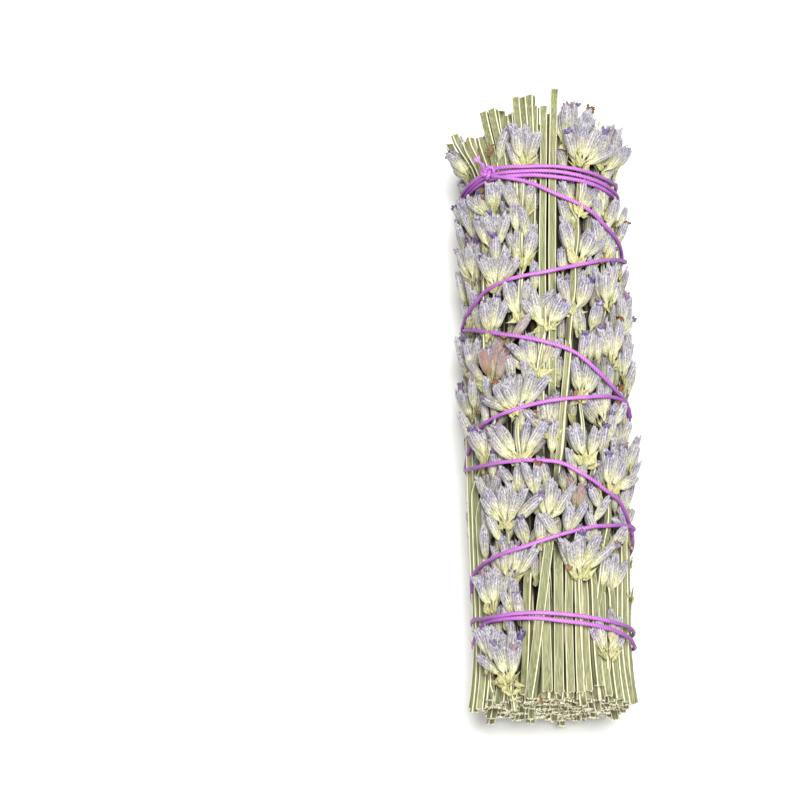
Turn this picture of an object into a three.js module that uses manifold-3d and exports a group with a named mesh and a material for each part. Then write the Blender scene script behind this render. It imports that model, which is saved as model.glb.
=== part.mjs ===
// A bunch of dried lavender: cut stems packed into a short thick stick, flower sprigs laid round the
// outside, and one waxed cotton thread that ties both ends and criss-crosses between them.
// It lies on its side. Millimetres, +Z up, +Y along the stems towards the flower tips, and the origin
// is on the surface that it lies on, under the middle of its bounding box.
//
// The sprigs are laid out on the unrolled bunch. A place there is (s, y, h): s runs round the bunch,
// y along it, and h is the height above the packed stems. wrap() bends that sheet round the bunch.

import * as THREE from "three";
import { mergeVertices } from "three/addons/utils/BufferGeometryUtils.js";
import Module from "manifold-3d";

const wasm = await Module();
wasm.setup();

// ---------------------------------------------------------------- driving dimensions

const HALF_WIDTH = 16.7; // of the packed stems, where the bunch is fullest
const HALF_HEIGHT_TOP = 14.9;
const HALF_HEIGHT_BASE = 12.9; // it sags a little flat where it lies
const FULLEST_AT = 12;
const DRAW_IN = 0.055; // share of its girth that the bunch loses at the tied cut end
const TIED_FROM_FULLEST = 68;
const TOP_TIE = 56;
const BOTTOM_TIE = -56;
const FLARE = 0.00045; // how fast the stems spread above the top tie, per square millimetre

const CORE_FROM = -66; // the stems are one solid body between these, and stand out beyond
const CORE_TO = 60;
const STEM_WIDTH = 2.4;
const STEM_LAYERS = 4;
const STEM_INSET = 2.4; // of the outermost stems' middles from the outside
const ROOT_DEPTH = 3; // how deep a stem's end is sunk in the core

const THREAD_RADIUS = 0.55;
const THREAD_HEIGHT = 3.5; // of its middle, above the packed stems
const TURN_SPACING = 1.2; // between neighbouring turns of a tie
const TURN_STEPS = 18;

const CALYX_LENGTH = 7.9;
const CALYX_WIDTH = 3; // a little larger than life, so that fewer of them cover the bunch
const CALYX_DEPTH = 2;
const STALK_WIDTH = 1.9;
const BRACT_WIDTH = 5;
const BRACT_LENGTH = 2.2;
const BRACT_DEPTH = 2.1;
const GAP = 0.36; // between any two nodes
const TOUCH_DOWN = 0.9; // what the surface presses flat on the lowest flowers

const UNROLL_RADIUS = 17.5; // s is the angle times this
const ROUND = 2 * Math.PI * UNROLL_RADIUS;
const AXIS_HEIGHT = HALF_HEIGHT_BASE + THREAD_HEIGHT + THREAD_RADIUS + 0.3;

const COLOURS = { stems: 0x8f9462, flowers: 0x9c97a8, thread: 0xa63fc4 };

// Sprigs on the side that shows: angle from the top towards +X in degrees and y of the lowest whorl,
// number of whorls, their pitch, the drift in degrees from whorl to whorl, the flowers in a whorl, and
// the bare stem below.
const SPRIGS = [
  { angle: -21, foot: 16.3, whorls: 4, pitch: 13.2, drift: 0, flowers: 4 },
  { angle: 17, foot: 17.3, whorls: 4, pitch: 12.9, drift: 4, flowers: 4, tail: 24 },
  { angle: -49, foot: 27.5, whorls: 3, pitch: 12.2, drift: 4, flowers: 4 },
  { angle: -76, foot: 28, whorls: 3, pitch: 14, drift: 2, flowers: 4 },
  { angle: 18.5, foot: 62, whorls: 1, pitch: 9, drift: 0, flowers: 2 },
  { angle: 49.5, foot: 20.5, whorls: 4, pitch: 12, drift: 0, flowers: 4 },
  { angle: 73, foot: 15.5, whorls: 4, pitch: 13, drift: 0, flowers: 4 },
  { angle: -10, foot: 1.5, whorls: 2, pitch: 12.2, drift: 7, flowers: 4 },
  { angle: -47, foot: 0.5, whorls: 2, pitch: 12.5, drift: -2, flowers: 4 },
  { angle: -74, foot: -6, whorls: 3, pitch: 11.2, drift: -2, flowers: 4 },
  { angle: -62, foot: -18, whorls: 1, pitch: 12, drift: 0, flowers: 4 },
  { angle: -25, foot: -19, whorls: 2, pitch: 11.5, drift: -2, flowers: 4 },
  { angle: -1, foot: -13.8, whorls: 1, pitch: 12, drift: 0, flowers: 4 },
  { angle: 27, foot: -19.6, whorls: 2, pitch: 15, drift: 0, flowers: 4 },
  { angle: 49, foot: -10, whorls: 2, pitch: 16, drift: 4, flowers: 4 },
  { angle: 76, foot: -20, whorls: 3, pitch: 11.7, drift: -1, flowers: 4 },
  { angle: -36, foot: -47, whorls: 2, pitch: 12.7, drift: -2, flowers: 4 },
  { angle: -4, foot: -33.5, whorls: 1, pitch: 12, drift: 0, flowers: 4, tail: 12 },
  { angle: 17, foot: -46.5, whorls: 1, pitch: 12, drift: 0, flowers: 4, tail: 24 },
  { angle: 40, foot: -42, whorls: 2, pitch: 14.5, drift: 3, flowers: 4 },
  { angle: 41, foot: -65, whorls: 1, pitch: 12, drift: 0, flowers: 4 },
  { angle: -60, foot: -66, whorls: 2, pitch: 12.5, drift: 4, flowers: 4 },
  { angle: -38, foot: -70, whorls: 1, pitch: 12, drift: 0, flowers: 3 },
  { angle: 81, foot: -49, whorls: 2, pitch: 12.5, drift: 0, flowers: 3 },
];

// On the sides and underneath, the sprigs follow a rule: columns round the bunch, three sprigs in each.
const HIDDEN_COLUMNS = 6;
const HIDDEN_FROM = 101;
const HIDDEN_STEP = 31.4;
const HIDDEN_FEET = [-66, -24, 19];
const HIDDEN_STAGGER = 6;
const HIDDEN_PITCH = 12.6;

// Bare stems on the outside: angle at the middle and ends along y, and how far they lean, in degrees.
const BARE_STEMS = [
  { angle: -3, from: 22, to: 72, lean: 1 },
  { angle: 4, from: 33, to: 75.5, lean: -1 },
  { angle: -81.5, from: -66, to: -26, lean: 0 },
  { angle: -73, from: -47, to: -26, lean: 0 },
  { angle: -23, from: -71, to: -54, lean: 2 },
  { angle: -14, from: -72, to: -52, lean: 6 },
  { angle: 1, from: -71, to: -50, lean: -2 },
  { angle: 8.5, from: -72.5, to: -50, lean: -2 },
  { angle: 27, from: -71, to: -52, lean: 1 },
  { angle: 57, from: -71, to: -36, lean: 0 },
  { angle: 67, from: -70, to: -31, lean: 2 },
  { angle: 114, from: -42, to: -32, lean: 0 },
  { angle: 179, from: -41, to: -29, lean: 0 },
];

// The thread's route: its y at each quarter turn, the first at the left side (angle -90).
const THREAD_DOWN = [54, 48.5, 37, 28, 18.5, 9, -1.6, -10, -17.7, -21, -32, -43, -53];
const THREAD_UP = [-48, -38, -31, -22, -13, -6, -0.6, 10, 22, 27, 37, 46, 54];
const TOP_TURNS = 3;
const BOTTOM_TURNS = 2;
const KNOT_ANGLE = -42;

// ---------------------------------------------------------------- small tools

const radians = THREE.MathUtils.degToRad;

// A repeatable run of numbers from 0 to 1.
function randomFrom(seed) {
  return () => {
    seed = (seed + 0x6d2b79f5) | 0;
    let t = Math.imul(seed ^ (seed >>> 15), 1 | seed);
    t = (t + Math.imul(t ^ (t >>> 7), 61 | t)) ^ t;
    return ((t ^ (t >>> 14)) >>> 0) / 4294967296;
  };
}

// A closed three.js geometry as a manifold-3d solid.
function solidOf(geometry) {
  const bare = new THREE.BufferGeometry();
  bare.setAttribute("position", geometry.getAttribute("position"));
  bare.setIndex(geometry.index);
  const merged = mergeVertices(bare, 1e-4);
  const corners = merged.index.array;
  const kept = [];
  for (let i = 0; i < corners.length; i += 3) {
    const [a, b, c] = [corners[i], corners[i + 1], corners[i + 2]];
    if (a !== b && b !== c && c !== a) kept.push(a, b, c);
  }
  const vertProperties = new Float32Array(merged.attributes.position.array);
  return new wasm.Manifold(new wasm.Mesh({ numProp: 3, vertProperties, triVerts: new Uint32Array(kept) }));
}

function geometryOf(solid) {
  const mesh = solid.getMesh();
  return new THREE.BufferGeometry()
    .setAttribute("position", new THREE.BufferAttribute(new Float32Array(mesh.vertProperties), 3))
    .setIndex(new THREE.BufferAttribute(new Uint32Array(mesh.triVerts), 1));
}

// The largest body of a solid: drops the scraps that a cut leaves.
function largest(solid) {
  return solid.decompose().reduce((best, body) => (body.volume() > best.volume() ? body : best));
}

// Moves every vertex of a geometry by a function of its place.
function moved(geometry, where) {
  const position = geometry.getAttribute("position");
  const point = new THREE.Vector3();
  for (let i = 0; i < position.count; i++) {
    point.fromBufferAttribute(position, i);
    position.setXYZ(i, ...where(point));
  }
  return geometry;
}

// ---------------------------------------------------------------- the bunch's own shape

// The girth at y, as a share of the girth where the bunch is fullest.
function girth(y) {
  const drawn = DRAW_IN * ((y - FULLEST_AT) / TIED_FROM_FULLEST) ** 2;
  return 1 - drawn + FLARE * Math.max(0, y - TOP_TIE) ** 2;
}

function halfHeight(angle) {
  return Math.cos(angle) > 0 ? HALF_HEIGHT_TOP : HALF_HEIGHT_BASE;
}

// The point in space of a place on the unrolled bunch.
function wrap({ x: s, y, z: h }) {
  const angle = s / UNROLL_RADIUS;
  const g = girth(y);
  const across = (HALF_WIDTH * g + h) * Math.sin(angle);
  return [across, y, AXIS_HEIGHT + (halfHeight(angle) * g + h) * Math.cos(angle)];
}

const around = (degrees) => radians(degrees) * UNROLL_RADIUS;

// ---------------------------------------------------------------- thread

// A run of thread through a list of y, one for each quarter turn. s goes on growing turn after turn.
function wound(heights, firstQuarter) {
  const points = heights.map((y, i) => {
    return new THREE.Vector3(((firstQuarter + i) * ROUND) / 4, y, THREAD_HEIGHT);
  });
  return new THREE.CatmullRomCurve3(points).getPoints(((heights.length - 1) * TURN_STEPS) / 4);
}

// A tie: turns side by side round the bunch.
function tie(y, turns) {
  return Array.from({ length: turns * TURN_STEPS + 1 }, (_, i) => {
    const turn = i / TURN_STEPS;
    const beside = (turn - turns / 2) * TURN_SPACING;
    return new THREE.Vector3((turn - 0.25) * ROUND, y + beside, THREAD_HEIGHT);
  });
}

// The knot: two loops drawn tight over the top tie, with a cut end standing off it. Each point is its
// distance round, along and above the tie.
function knot() {
  const loops = [
    [-3.5, -0.6, 0],
    [-1.2, -0.2, 0.6],
    [0.9, 1.2, 0.9],
    [0.7, -1.5, 0.9],
    [-1, -1.6, 0.7],
    [-0.9, 1, 1.1],
    [-1.4, 3.4, 1.5],
  ];
  const middle = new THREE.Vector3(around(KNOT_ANGLE), TOP_TIE + 1, THREAD_HEIGHT);
  const points = loops.map((loop) => new THREE.Vector3(...loop).add(middle));
  return new THREE.CatmullRomCurve3(points).getPoints(12);
}

const THREAD_RUNS = [
  wound(THREAD_DOWN, -1),
  wound([BOTTOM_TIE - TURN_SPACING, ...THREAD_UP], -2),
  tie(TOP_TIE, TOP_TURNS),
  tie(BOTTOM_TIE, BOTTOM_TURNS),
  knot(),
];

// A tube of thread along points in space.
function tube(points, steps) {
  const section = new THREE.Shape(
    Array.from({ length: 4 }, (_, i) => {
      const turn = (i / 4) * 2 * Math.PI;
      return new THREE.Vector2(Math.cos(turn), Math.sin(turn)).multiplyScalar(THREAD_RADIUS);
    }),
  );
  const extrudePath = new THREE.CatmullRomCurve3(points);
  return solidOf(new THREE.ExtrudeGeometry(section, { steps, bevelEnabled: false, extrudePath }));
}

function thread() {
  return wasm.Manifold.union(
    THREAD_RUNS.map((points) => {
      return tube(points.map((point) => new THREE.Vector3(...wrap(point))), points.length - 1);
    }),
  );
}

// ---------------------------------------------------------------- what is already in the way

// Everything placed so far is a line with a thickness on the unrolled bunch, with its owner's name.
// Heights are stretched there, so that a calyx, which is wider than deep, counts as round.
const placed = [];
const stretched = ({ x, y, z }) => new THREE.Vector3(x, y, (z * CALYX_WIDTH) / CALYX_DEPTH);

// The line is repeated a whole turn to either side, because the sheet's two edges meet.
function place(from, to, radius, owner) {
  const home = -ROUND * Math.round(from.x / ROUND);
  for (const turn of [-1, 0, 1]) {
    const shift = new THREE.Vector3(home + turn * ROUND, 0, 0);
    const line = new THREE.Line3(stretched(from).add(shift), stretched(to).add(shift));
    if (Math.abs(line.start.x) < 0.65 * ROUND) placed.push({ line, radius, owner });
  }
}

function placeThread() {
  for (const points of THREAD_RUNS) {
    points.slice(1).forEach((point, i) => place(points[i], point, THREAD_RADIUS * 1.6, "thread"));
  }
}

function placeStalk(sprig) {
  const { name, whorls, tail, pitch } = sprig;
  place(onSprig(sprig, -tail / pitch), onSprig(sprig, whorls - 1), STALK_WIDTH / 2, name);
  for (let whorl = 0; whorl < whorls; whorl++) {
    const aside = new THREE.Vector3(BRACT_WIDTH * 0.34, 0, 0);
    place(onSprig(sprig, whorl).sub(aside), onSprig(sprig, whorl).add(aside), BRACT_DEPTH / 2, name);
  }
}

// True if a ball on the unrolled bunch clears everything that another owner has placed. What its own
// sprig has placed as flowers it may touch, but not sink into.
const nearest = new THREE.Vector3();
function isClear(point, radius, owner) {
  const here = stretched(point);
  return placed.every(({ line, radius: other, owner: theirs }) => {
    if (theirs === owner) return true;
    line.closestPointToPoint(here, true, nearest);
    const room = theirs === `${owner} flower` ? 0.8 * (radius + other) : radius + other + GAP;
    return nearest.distanceTo(here) > room;
  });
}

// ---------------------------------------------------------------- stems

// The outline of the packed stems: a ridge for each outer stem, with a groove between.
function coreOutline() {
  const count = outerStems();
  const corners = Array.from({ length: count * 2 }, (_, i) => {
    const angle = (-i / (count * 2)) * 2 * Math.PI;
    const h = i % 2 ? -0.9 : -0.1;
    return new THREE.Vector2((HALF_WIDTH + h) * Math.sin(angle), (halfHeight(angle) + h) * Math.cos(angle));
  });
  return new THREE.Shape(corners);
}

const layerSpacing = HALF_WIDTH / STEM_LAYERS;
const outerStems = () => Math.round((2 * Math.PI * (HALF_WIDTH - STEM_INSET)) / (STEM_WIDTH + 0.5));

// Draws a straight shape in or out with the bunch's girth.
const follow = ({ x, y, z }) => [x * girth(y), y, AXIS_HEIGHT + z * girth(y)];

function core() {
  const length = CORE_TO - CORE_FROM;
  const body = new THREE.ExtrudeGeometry(coreOutline(), { depth: length, steps: 3, bevelEnabled: false });
  return solidOf(moved(body, ({ x, y, z }) => follow({ x, y: CORE_TO - z, z: y })));
}

// Both ends of the stems that stand out of the core, in rings, each cut at its own length.
function stemEnds() {
  const random = randomFrom(7);
  const ends = [];
  for (let layer = 0; layer < STEM_LAYERS; layer++) {
    const share = (layer + 0.5) / STEM_LAYERS;
    const outermost = layer === STEM_LAYERS - 1;
    const count = outermost ? outerStems() : Math.round((2 * Math.PI * share * HALF_WIDTH) / layerSpacing);
    for (let i = 0; i < count; i++) {
      const angle = ((i + (outermost ? 0 : random() * 0.2)) / count) * 2 * Math.PI;
      const reach = outermost ? 1 : share / (1 - 0.5 / STEM_LAYERS);
      const x = reach * (HALF_WIDTH - STEM_INSET) * Math.sin(angle);
      const z = reach * (halfHeight(angle) - STEM_INSET) * Math.cos(angle);
      const top = 63 + 3.5 * Math.cos(angle + 0.6) + 6 * random() ** 2;
      const bottom = -70 + 1.5 * Math.cos(angle) - 3 * random();
      const turn = angle + (outermost ? 0 : 0.8 * (random() - 0.5));
      ends.push(stemEnd(x, z, CORE_TO - ROOT_DEPTH, top, turn));
      ends.push(stemEnd(x, z, bottom, CORE_FROM + ROOT_DEPTH, turn));
    }
  }
  return ends;
}

function stemEnd(x, z, from, to, turn) {
  const stem = new THREE.BoxGeometry(STEM_WIDTH, to - from, STEM_WIDTH);
  stem.rotateY(turn);
  stem.translate(x, (from + to) / 2, z);
  return solidOf(moved(stem, follow));
}

// A bare stem on the outside, sunk in the core's surface.
function bareStem({ angle, from, to, lean }) {
  const [low, high] = [-1, 2.1];
  const stem = new THREE.BoxGeometry(1.9, to - from, high - low, 1, Math.ceil((to - from) / 9), 1);
  stem.translate(0, (from + to) / 2, (low + high) / 2);
  const middle = (from + to) / 2;
  const slope = around(lean) / (to - from);
  const across = (y) => around(angle) + slope * (y - middle);
  place(new THREE.Vector3(across(from), from, 1.2), new THREE.Vector3(across(to), to, 1.2), 1.85, "stems");
  return solidOf(moved(stem, ({ x, y, z }) => wrap({ x: x + across(y), y, z })));
}

function stems() {
  return wasm.Manifold.union([core(), ...stemEnds(), ...BARE_STEMS.map(bareStem)]);
}

// ---------------------------------------------------------------- sprigs

// All sprigs: those of the table, then the columns underneath.
function allSprigs() {
  const hidden = [];
  for (let column = 0; column < HIDDEN_COLUMNS; column++) {
    for (const foot of HIDDEN_FEET) {
      hidden.push({
        angle: HIDDEN_FROM + column * HIDDEN_STEP,
        foot: foot + (column % 2) * HIDDEN_STAGGER,
        whorls: 3,
        pitch: HIDDEN_PITCH,
        drift: column % 3 ? 1 : -1,
        flowers: 3,
        lift: column === 2 || column === 3 ? 28 : 10,
      });
    }
  }
  return [...SPRIGS, ...hidden].map((sprig, i) => ({
    tail: 2.5,
    lift: 10,
    ...sprig,
    name: `sprig_${String(i + 1).padStart(2, "0")}`,
  }));
}

// Where a whorl of a sprig sits on the unrolled bunch.
function onSprig(sprig, whorl) {
  const s = around(sprig.angle + sprig.drift * whorl - (sprig.angle > 180 ? 360 : 0));
  return new THREE.Vector3(s, sprig.foot + sprig.pitch * whorl, GAP + BRACT_DEPTH / 2);
}

// A shape drawn along +Y from the origin, turned to run along a direction and moved to a point.
function aimed(geometry, from, direction) {
  const along = direction.clone().normalize();
  const side = new THREE.Vector3(along.y, -along.x, 0).normalize();
  const up = side.clone().cross(along);
  geometry.applyMatrix4(new THREE.Matrix4().makeBasis(side, along, up).setPosition(from));
  return geometry;
}

// A sprig's own stalk: a flat bar that swells into a pair of small bracts at each whorl.
function stalk(sprig) {
  const profile = [[0, -sprig.tail], [STALK_WIDTH / 2, -sprig.tail]];
  for (let whorl = 0; whorl < sprig.whorls; whorl++) {
    const y = sprig.pitch * whorl;
    profile.push([STALK_WIDTH / 2, y - BRACT_LENGTH], [BRACT_WIDTH / 2, y]);
    if (whorl === sprig.whorls - 1) profile.push([0, y + BRACT_LENGTH]);
  }
  const bar = new THREE.LatheGeometry(profile.map(([r, y]) => new THREE.Vector2(r, y)), 4);
  bar.scale(1, 1, BRACT_DEPTH / BRACT_WIDTH);
  return solidOf(aimed(bar, onSprig(sprig, 0), onSprig(sprig, 1).sub(onSprig(sprig, 0))));
}

// One calyx with its bud: a slim three-sided barrel, flat below, that starts from a point and ends blunt.
function calyx({ base, direction, length }) {
  const profile = [0, 0.55, 1].map((share) => new THREE.Vector2(calyxRadius(share), share * length));
  const barrel = new THREE.LatheGeometry([...profile, new THREE.Vector2(0, length)], 3);
  barrel.scale(2 / Math.sqrt(3), 1, (4 * CALYX_DEPTH) / (3 * CALYX_WIDTH));
  barrel.translate(0, 0, -CALYX_DEPTH / 6);
  return solidOf(aimed(barrel, base, direction));
}

// Half its width at a share of its length.
const calyxRadius = (share) => (CALYX_WIDTH / 2) * Math.min(share / 0.55, 1.32 - 0.58 * share);

// Where a calyx reaches, at shares of its length.
const along = ({ base, direction, length }, share) => {
  return base.clone().addScaledVector(direction, length * share);
};

function calyxFits(one, owner) {
  return [0.3, 0.45, 0.6, 0.75, 0.88, 0.97].every((share) => {
    const point = along(one, share);
    const outside = point.z + (calyxRadius(share) * CALYX_DEPTH) / CALYX_WIDTH;
    const bottom = wrap({ x: point.x, y: point.y, z: outside })[2];
    return bottom > -TOUCH_DOWN && isClear(point, calyxRadius(share), owner);
  });
}

// One flower of a whorl. It closes towards its own stem, or lies flatter, until it clears its
// neighbours and the thread. One that finds no room is left out.
function settled(sprig, whorl, share, random) {
  const start = onSprig(sprig, whorl);
  start.x += 1.5 * share;
  start.y += 0.5 * (1 - Math.abs(share));
  const splay = 40 * share + 8 * (random() - 0.5);
  const lift = sprig.lift + 18 * random();
  const length = CALYX_LENGTH * (0.93 + 0.2 * random());
  for (const shorter of [1, 0.87, 0.75]) {
    for (const closing of [1, 0.8, 0.6, 0.4, 0.15]) {
      for (const flatter of [1, 0.75, 0.5, 0.25, 0]) {
        const aside = radians(splay * closing);
        const up = radians(lift * flatter);
        const direction = new THREE.Vector3(
          Math.sin(aside) * Math.cos(up),
          Math.cos(aside) * Math.cos(up),
          Math.sin(up),
        );
        const one = { base: start, direction, length: length * shorter };
        if (calyxFits(one, sprig.name)) return one;
      }
    }
  }
  return null;
}

// The flowers of every sprig, whorl by whorl, so that no sprig takes all the room.
function bloom(sprigs) {
  const random = randomFrom(21);
  const found = new Map(sprigs.map((sprig) => [sprig.name, []]));
  const most = Math.max(...sprigs.map((sprig) => sprig.whorls));
  for (let whorl = 0; whorl < most; whorl++) {
    for (const sprig of sprigs.filter((one) => whorl < one.whorls)) {
      for (let i = 0; i < sprig.flowers; i++) {
        const share = sprig.flowers > 1 ? (2 * i) / (sprig.flowers - 1) - 1 : 0;
        const one = settled(sprig, whorl, share, random);
        if (!one) continue;
        found.get(sprig.name).push(one);
        place(along(one, 0.5), along(one, 0.8), CALYX_WIDTH / 2, `${sprig.name} flower`);
        place(along(one, 0.9), along(one, 0.95), CALYX_WIDTH * 0.4, `${sprig.name} flower`);
      }
    }
  }
  return found;
}

// A sprig: its stalk and the flowers of each whorl, in one piece.
function sprigSolid(sprig, flowers) {
  const flat = wasm.Manifold.union([stalk(sprig), ...flowers.map(calyx)]);
  return largest(solidOf(moved(geometryOf(flat), wrap)).subtract(underTheSurface));
}

const underTheSurface = solidOf(new THREE.BoxGeometry(100, 300, 20).translate(0, 0, -10));

// ---------------------------------------------------------------- the whole bunch

function material(name) {
  const roughness = name === "thread" ? 0.45 : 0.85;
  return new THREE.MeshStandardMaterial({ color: COLOURS[name], roughness });
}

function build() {
  const bunch = new THREE.Group();
  const add = (name, solid, finish) => {
    const mesh = new THREE.Mesh(geometryOf(solid), material(finish));
    mesh.name = name;
    bunch.add(mesh);
  };

  placeThread();
  add("thread", thread(), "thread");
  add("stems", stems(), "stems");

  const sprigs = allSprigs();
  sprigs.forEach(placeStalk);
  const flowers = bloom(sprigs);
  for (const sprig of sprigs) add(sprig.name, sprigSolid(sprig, flowers.get(sprig.name)), "flowers");

  const box = new THREE.Box3().setFromObject(bunch);
  bunch.position.set(-(box.min.x + box.max.x) / 2, -(box.min.y + box.max.y) / 2, 0);
  return bunch;
}

export default build();
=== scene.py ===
"""A bunch of dried lavender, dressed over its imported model.

Cut stalks lie packed side by side in a short thick stick, flower sprigs lie along them on the
outside with their tips all at one end, and one waxed cotton thread ties and criss-crosses it.

What lies on the outside is laid out on the unrolled bunch, in millimetres: s runs round the bunch
from its top towards +X, y runs along it towards the flower tips, and h is the height above the
packed stalks. Bunch.wrap() bends that sheet round the bunch and turns it to metres. What lies inside
is laid out as x and z from the bunch's axis and y along it, and Bunch.place_core() places it.
"""

from collections import namedtuple
from math import cos, degrees, pi, radians, sin

import bpy
import numpy as np
from bpy.props import FloatProperty, FloatVectorProperty, IntProperty, PointerProperty
from bpy.types import Operator, Panel, PropertyGroup
from mathutils import Matrix, Vector


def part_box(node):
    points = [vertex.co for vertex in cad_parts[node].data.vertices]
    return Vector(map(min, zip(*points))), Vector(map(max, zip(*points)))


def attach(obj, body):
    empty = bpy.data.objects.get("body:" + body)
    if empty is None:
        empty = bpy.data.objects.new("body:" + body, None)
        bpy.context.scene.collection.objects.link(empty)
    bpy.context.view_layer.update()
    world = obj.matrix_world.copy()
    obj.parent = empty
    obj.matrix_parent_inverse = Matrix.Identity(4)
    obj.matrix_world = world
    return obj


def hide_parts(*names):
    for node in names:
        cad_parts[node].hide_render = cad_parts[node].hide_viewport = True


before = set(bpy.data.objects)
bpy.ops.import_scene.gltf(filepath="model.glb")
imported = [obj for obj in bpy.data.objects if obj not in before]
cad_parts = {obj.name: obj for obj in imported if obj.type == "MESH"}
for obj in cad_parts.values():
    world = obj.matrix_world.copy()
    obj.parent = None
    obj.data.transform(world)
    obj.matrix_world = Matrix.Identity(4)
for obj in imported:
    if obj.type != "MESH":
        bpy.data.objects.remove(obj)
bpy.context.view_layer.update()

bl_info = {
    "name": "Dried lavender bunch",
    "version": (1, 0, 0),
    "blender": (4, 5, 0),
    "location": "View3D > Sidebar > Lavender",
    "description": "Builds the stalks, flower sprigs and thread of a dried lavender bunch",
    "category": "Object",
}

MM = 0.001

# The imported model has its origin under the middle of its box, so it stands this far off the axis.
LONGEST_STALK_TIP = 75.5
AXIS_X = 0.232
AXIS_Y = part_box("stems")[1][1] / MM - LONGEST_STALK_TIP

# The radius of the round that the sheet is unrolled from, and how far it is once round.
UNROLL_RADIUS = 17.5
ROUND = 2 * pi * UNROLL_RADIUS


def linear(hex_colour):
    """A colour written as sRGB hex, as the linear colour that Blender works in."""
    values = [int(hex_colour[i : i + 2], 16) / 255 for i in (1, 3, 5)]
    return [v / 12.92 if v <= 0.04045 else ((v + 0.055) / 1.055) ** 2.4 for v in values]


def around(angle):
    """How far round the bunch an angle in degrees is."""
    return np.radians(angle) * UNROLL_RADIUS


def angle_at(s):
    """The angle of a place round the bunch, from -180 to 180 degrees."""
    return (np.degrees(s / UNROLL_RADIUS) + 180) % 360 - 180


# ---------------------------------------------------------------- sizes and colours


def length(name, description, default):
    return FloatProperty(
        name=name, description=description, default=default * MM, unit="LENGTH", min=0, precision=5
    )


def colour(name, description, hex_colour):
    return FloatVectorProperty(
        name=name, description=description, default=linear(hex_colour), subtype="COLOR", size=3, min=0, max=1
    )


def share(name, description, default):
    return FloatProperty(name=name, description=description, default=default, min=0, max=1, subtype="FACTOR")


def slant(name, description, default):
    return FloatProperty(name=name, description=description, default=radians(default), subtype="ANGLE")


class LAVENDER_PG_bunch(PropertyGroup):
    """The shape of the whole bunch."""

    half_width: length("Half width", "From the axis to the side of the packed stalks", 16.7)
    half_height: length("Half height", "From the axis to the top of the packed stalks", 14.9)
    half_base: length("Half height below", "From the axis to the sagged underside", 12.9)
    fullest_at: length("Fullest at", "Where along the bunch it is thickest", 12)
    axis_height: length("Axis height", "Of the bunch above what it lies on", 17.25)
    drawn_in: share("Drawn in", "Share of the girth lost at the tied cut end", 0.055)


class LAVENDER_PG_stalks(PropertyGroup):
    """The bare cut stalks."""

    width: length("Stalk width", "Across the flats of a dried flower stalk", 1.8)
    rib: length("Corner rib", "Width of the pale rib along each corner", 0.4)
    hollow: length("Hollow", "How far the hollow is seen to go in at a cut end", 1.6)
    seed: IntProperty(name="Seed", description="Changes how the stalks lie", default=4)
    green: colour("Green", "The sunken sides of a stalk", "#656e45")
    straw: colour("Straw", "Stalks that dried paler", "#7e7753")
    rib_colour: colour("Rib", "The pale corner ribs", "#eeebc6")
    pith: colour("Cut end", "The woody rim of a cut end", "#f5efd3")
    # This near-black is painted shade inside the hollow of a cut end.
    dark: colour("Hollow inside", "Inside a hollow stalk", "#1c150b")


class LAVENDER_PG_flowers(PropertyGroup):
    """The calyces, petals and bracts."""

    calyx: length("Calyx length", "Length of a dried calyx with its short stalk", 8.8)
    calyx_width: length("Calyx width", "Width of a dried calyx", 2.25)
    bract: length("Bract length", "Length of the papery leaf under a whorl", 4.3)
    petals: share("Petals", "Share of calyces that kept a dried corolla", 0.4)
    seed: IntProperty(name="Seed", description="Changes how the flowers lie", default=11)
    grey: colour("Calyx", "The felted side of a calyx", "#807b79")
    pale: colour("Calyx rib", "The pale ribs of a calyx", "#f0ede4")
    violet: colour("Calyx mouth", "The violet end of a calyx", "#5d5587")
    lime: colour("Calyx foot", "The yellow-green foot of a calyx", "#d3cfa1")
    petal: colour("Petal", "A dried corolla", "#40355f")
    leaf: colour("Bract", "A papery bract", "#a8a265")
    withered: colour("Withered", "Corollas and bracts that turned rust brown", "#6c3b24")


class LAVENDER_PG_thread(PropertyGroup):
    """The waxed thread."""

    radius: length("Thread radius", "Half the thickness of the thread", 0.48)
    height: length("Thread height", "Of its middle above the packed stalks", 3.0)
    lay: length("Lay", "Length in which a ply goes once round", 2.1)
    orchid: colour("Orchid", "The dyed cotton", "#c979d1")
    # Plum is also the painted shade down the sides of the thread.
    plum: colour("Plum", "The dye between the plies, and where it has not faded", "#652678")


class LAVENDER_PG_studio(PropertyGroup):
    """The floor, lights and camera."""

    paper: colour("Paper", "The white sweep that the bunch lies on", "#efefec")
    tilt: slant("Camera tilt", "How far the camera looks off straight down", 17.7)
    roll: slant("Camera roll", "How far the bunch lies turned in the picture", 0.34)
    lens: FloatProperty(name="Lens", description="Focal length in millimetres", default=93.8, unit="CAMERA")


# ---------------------------------------------------------------- the bunch's own shape


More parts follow.
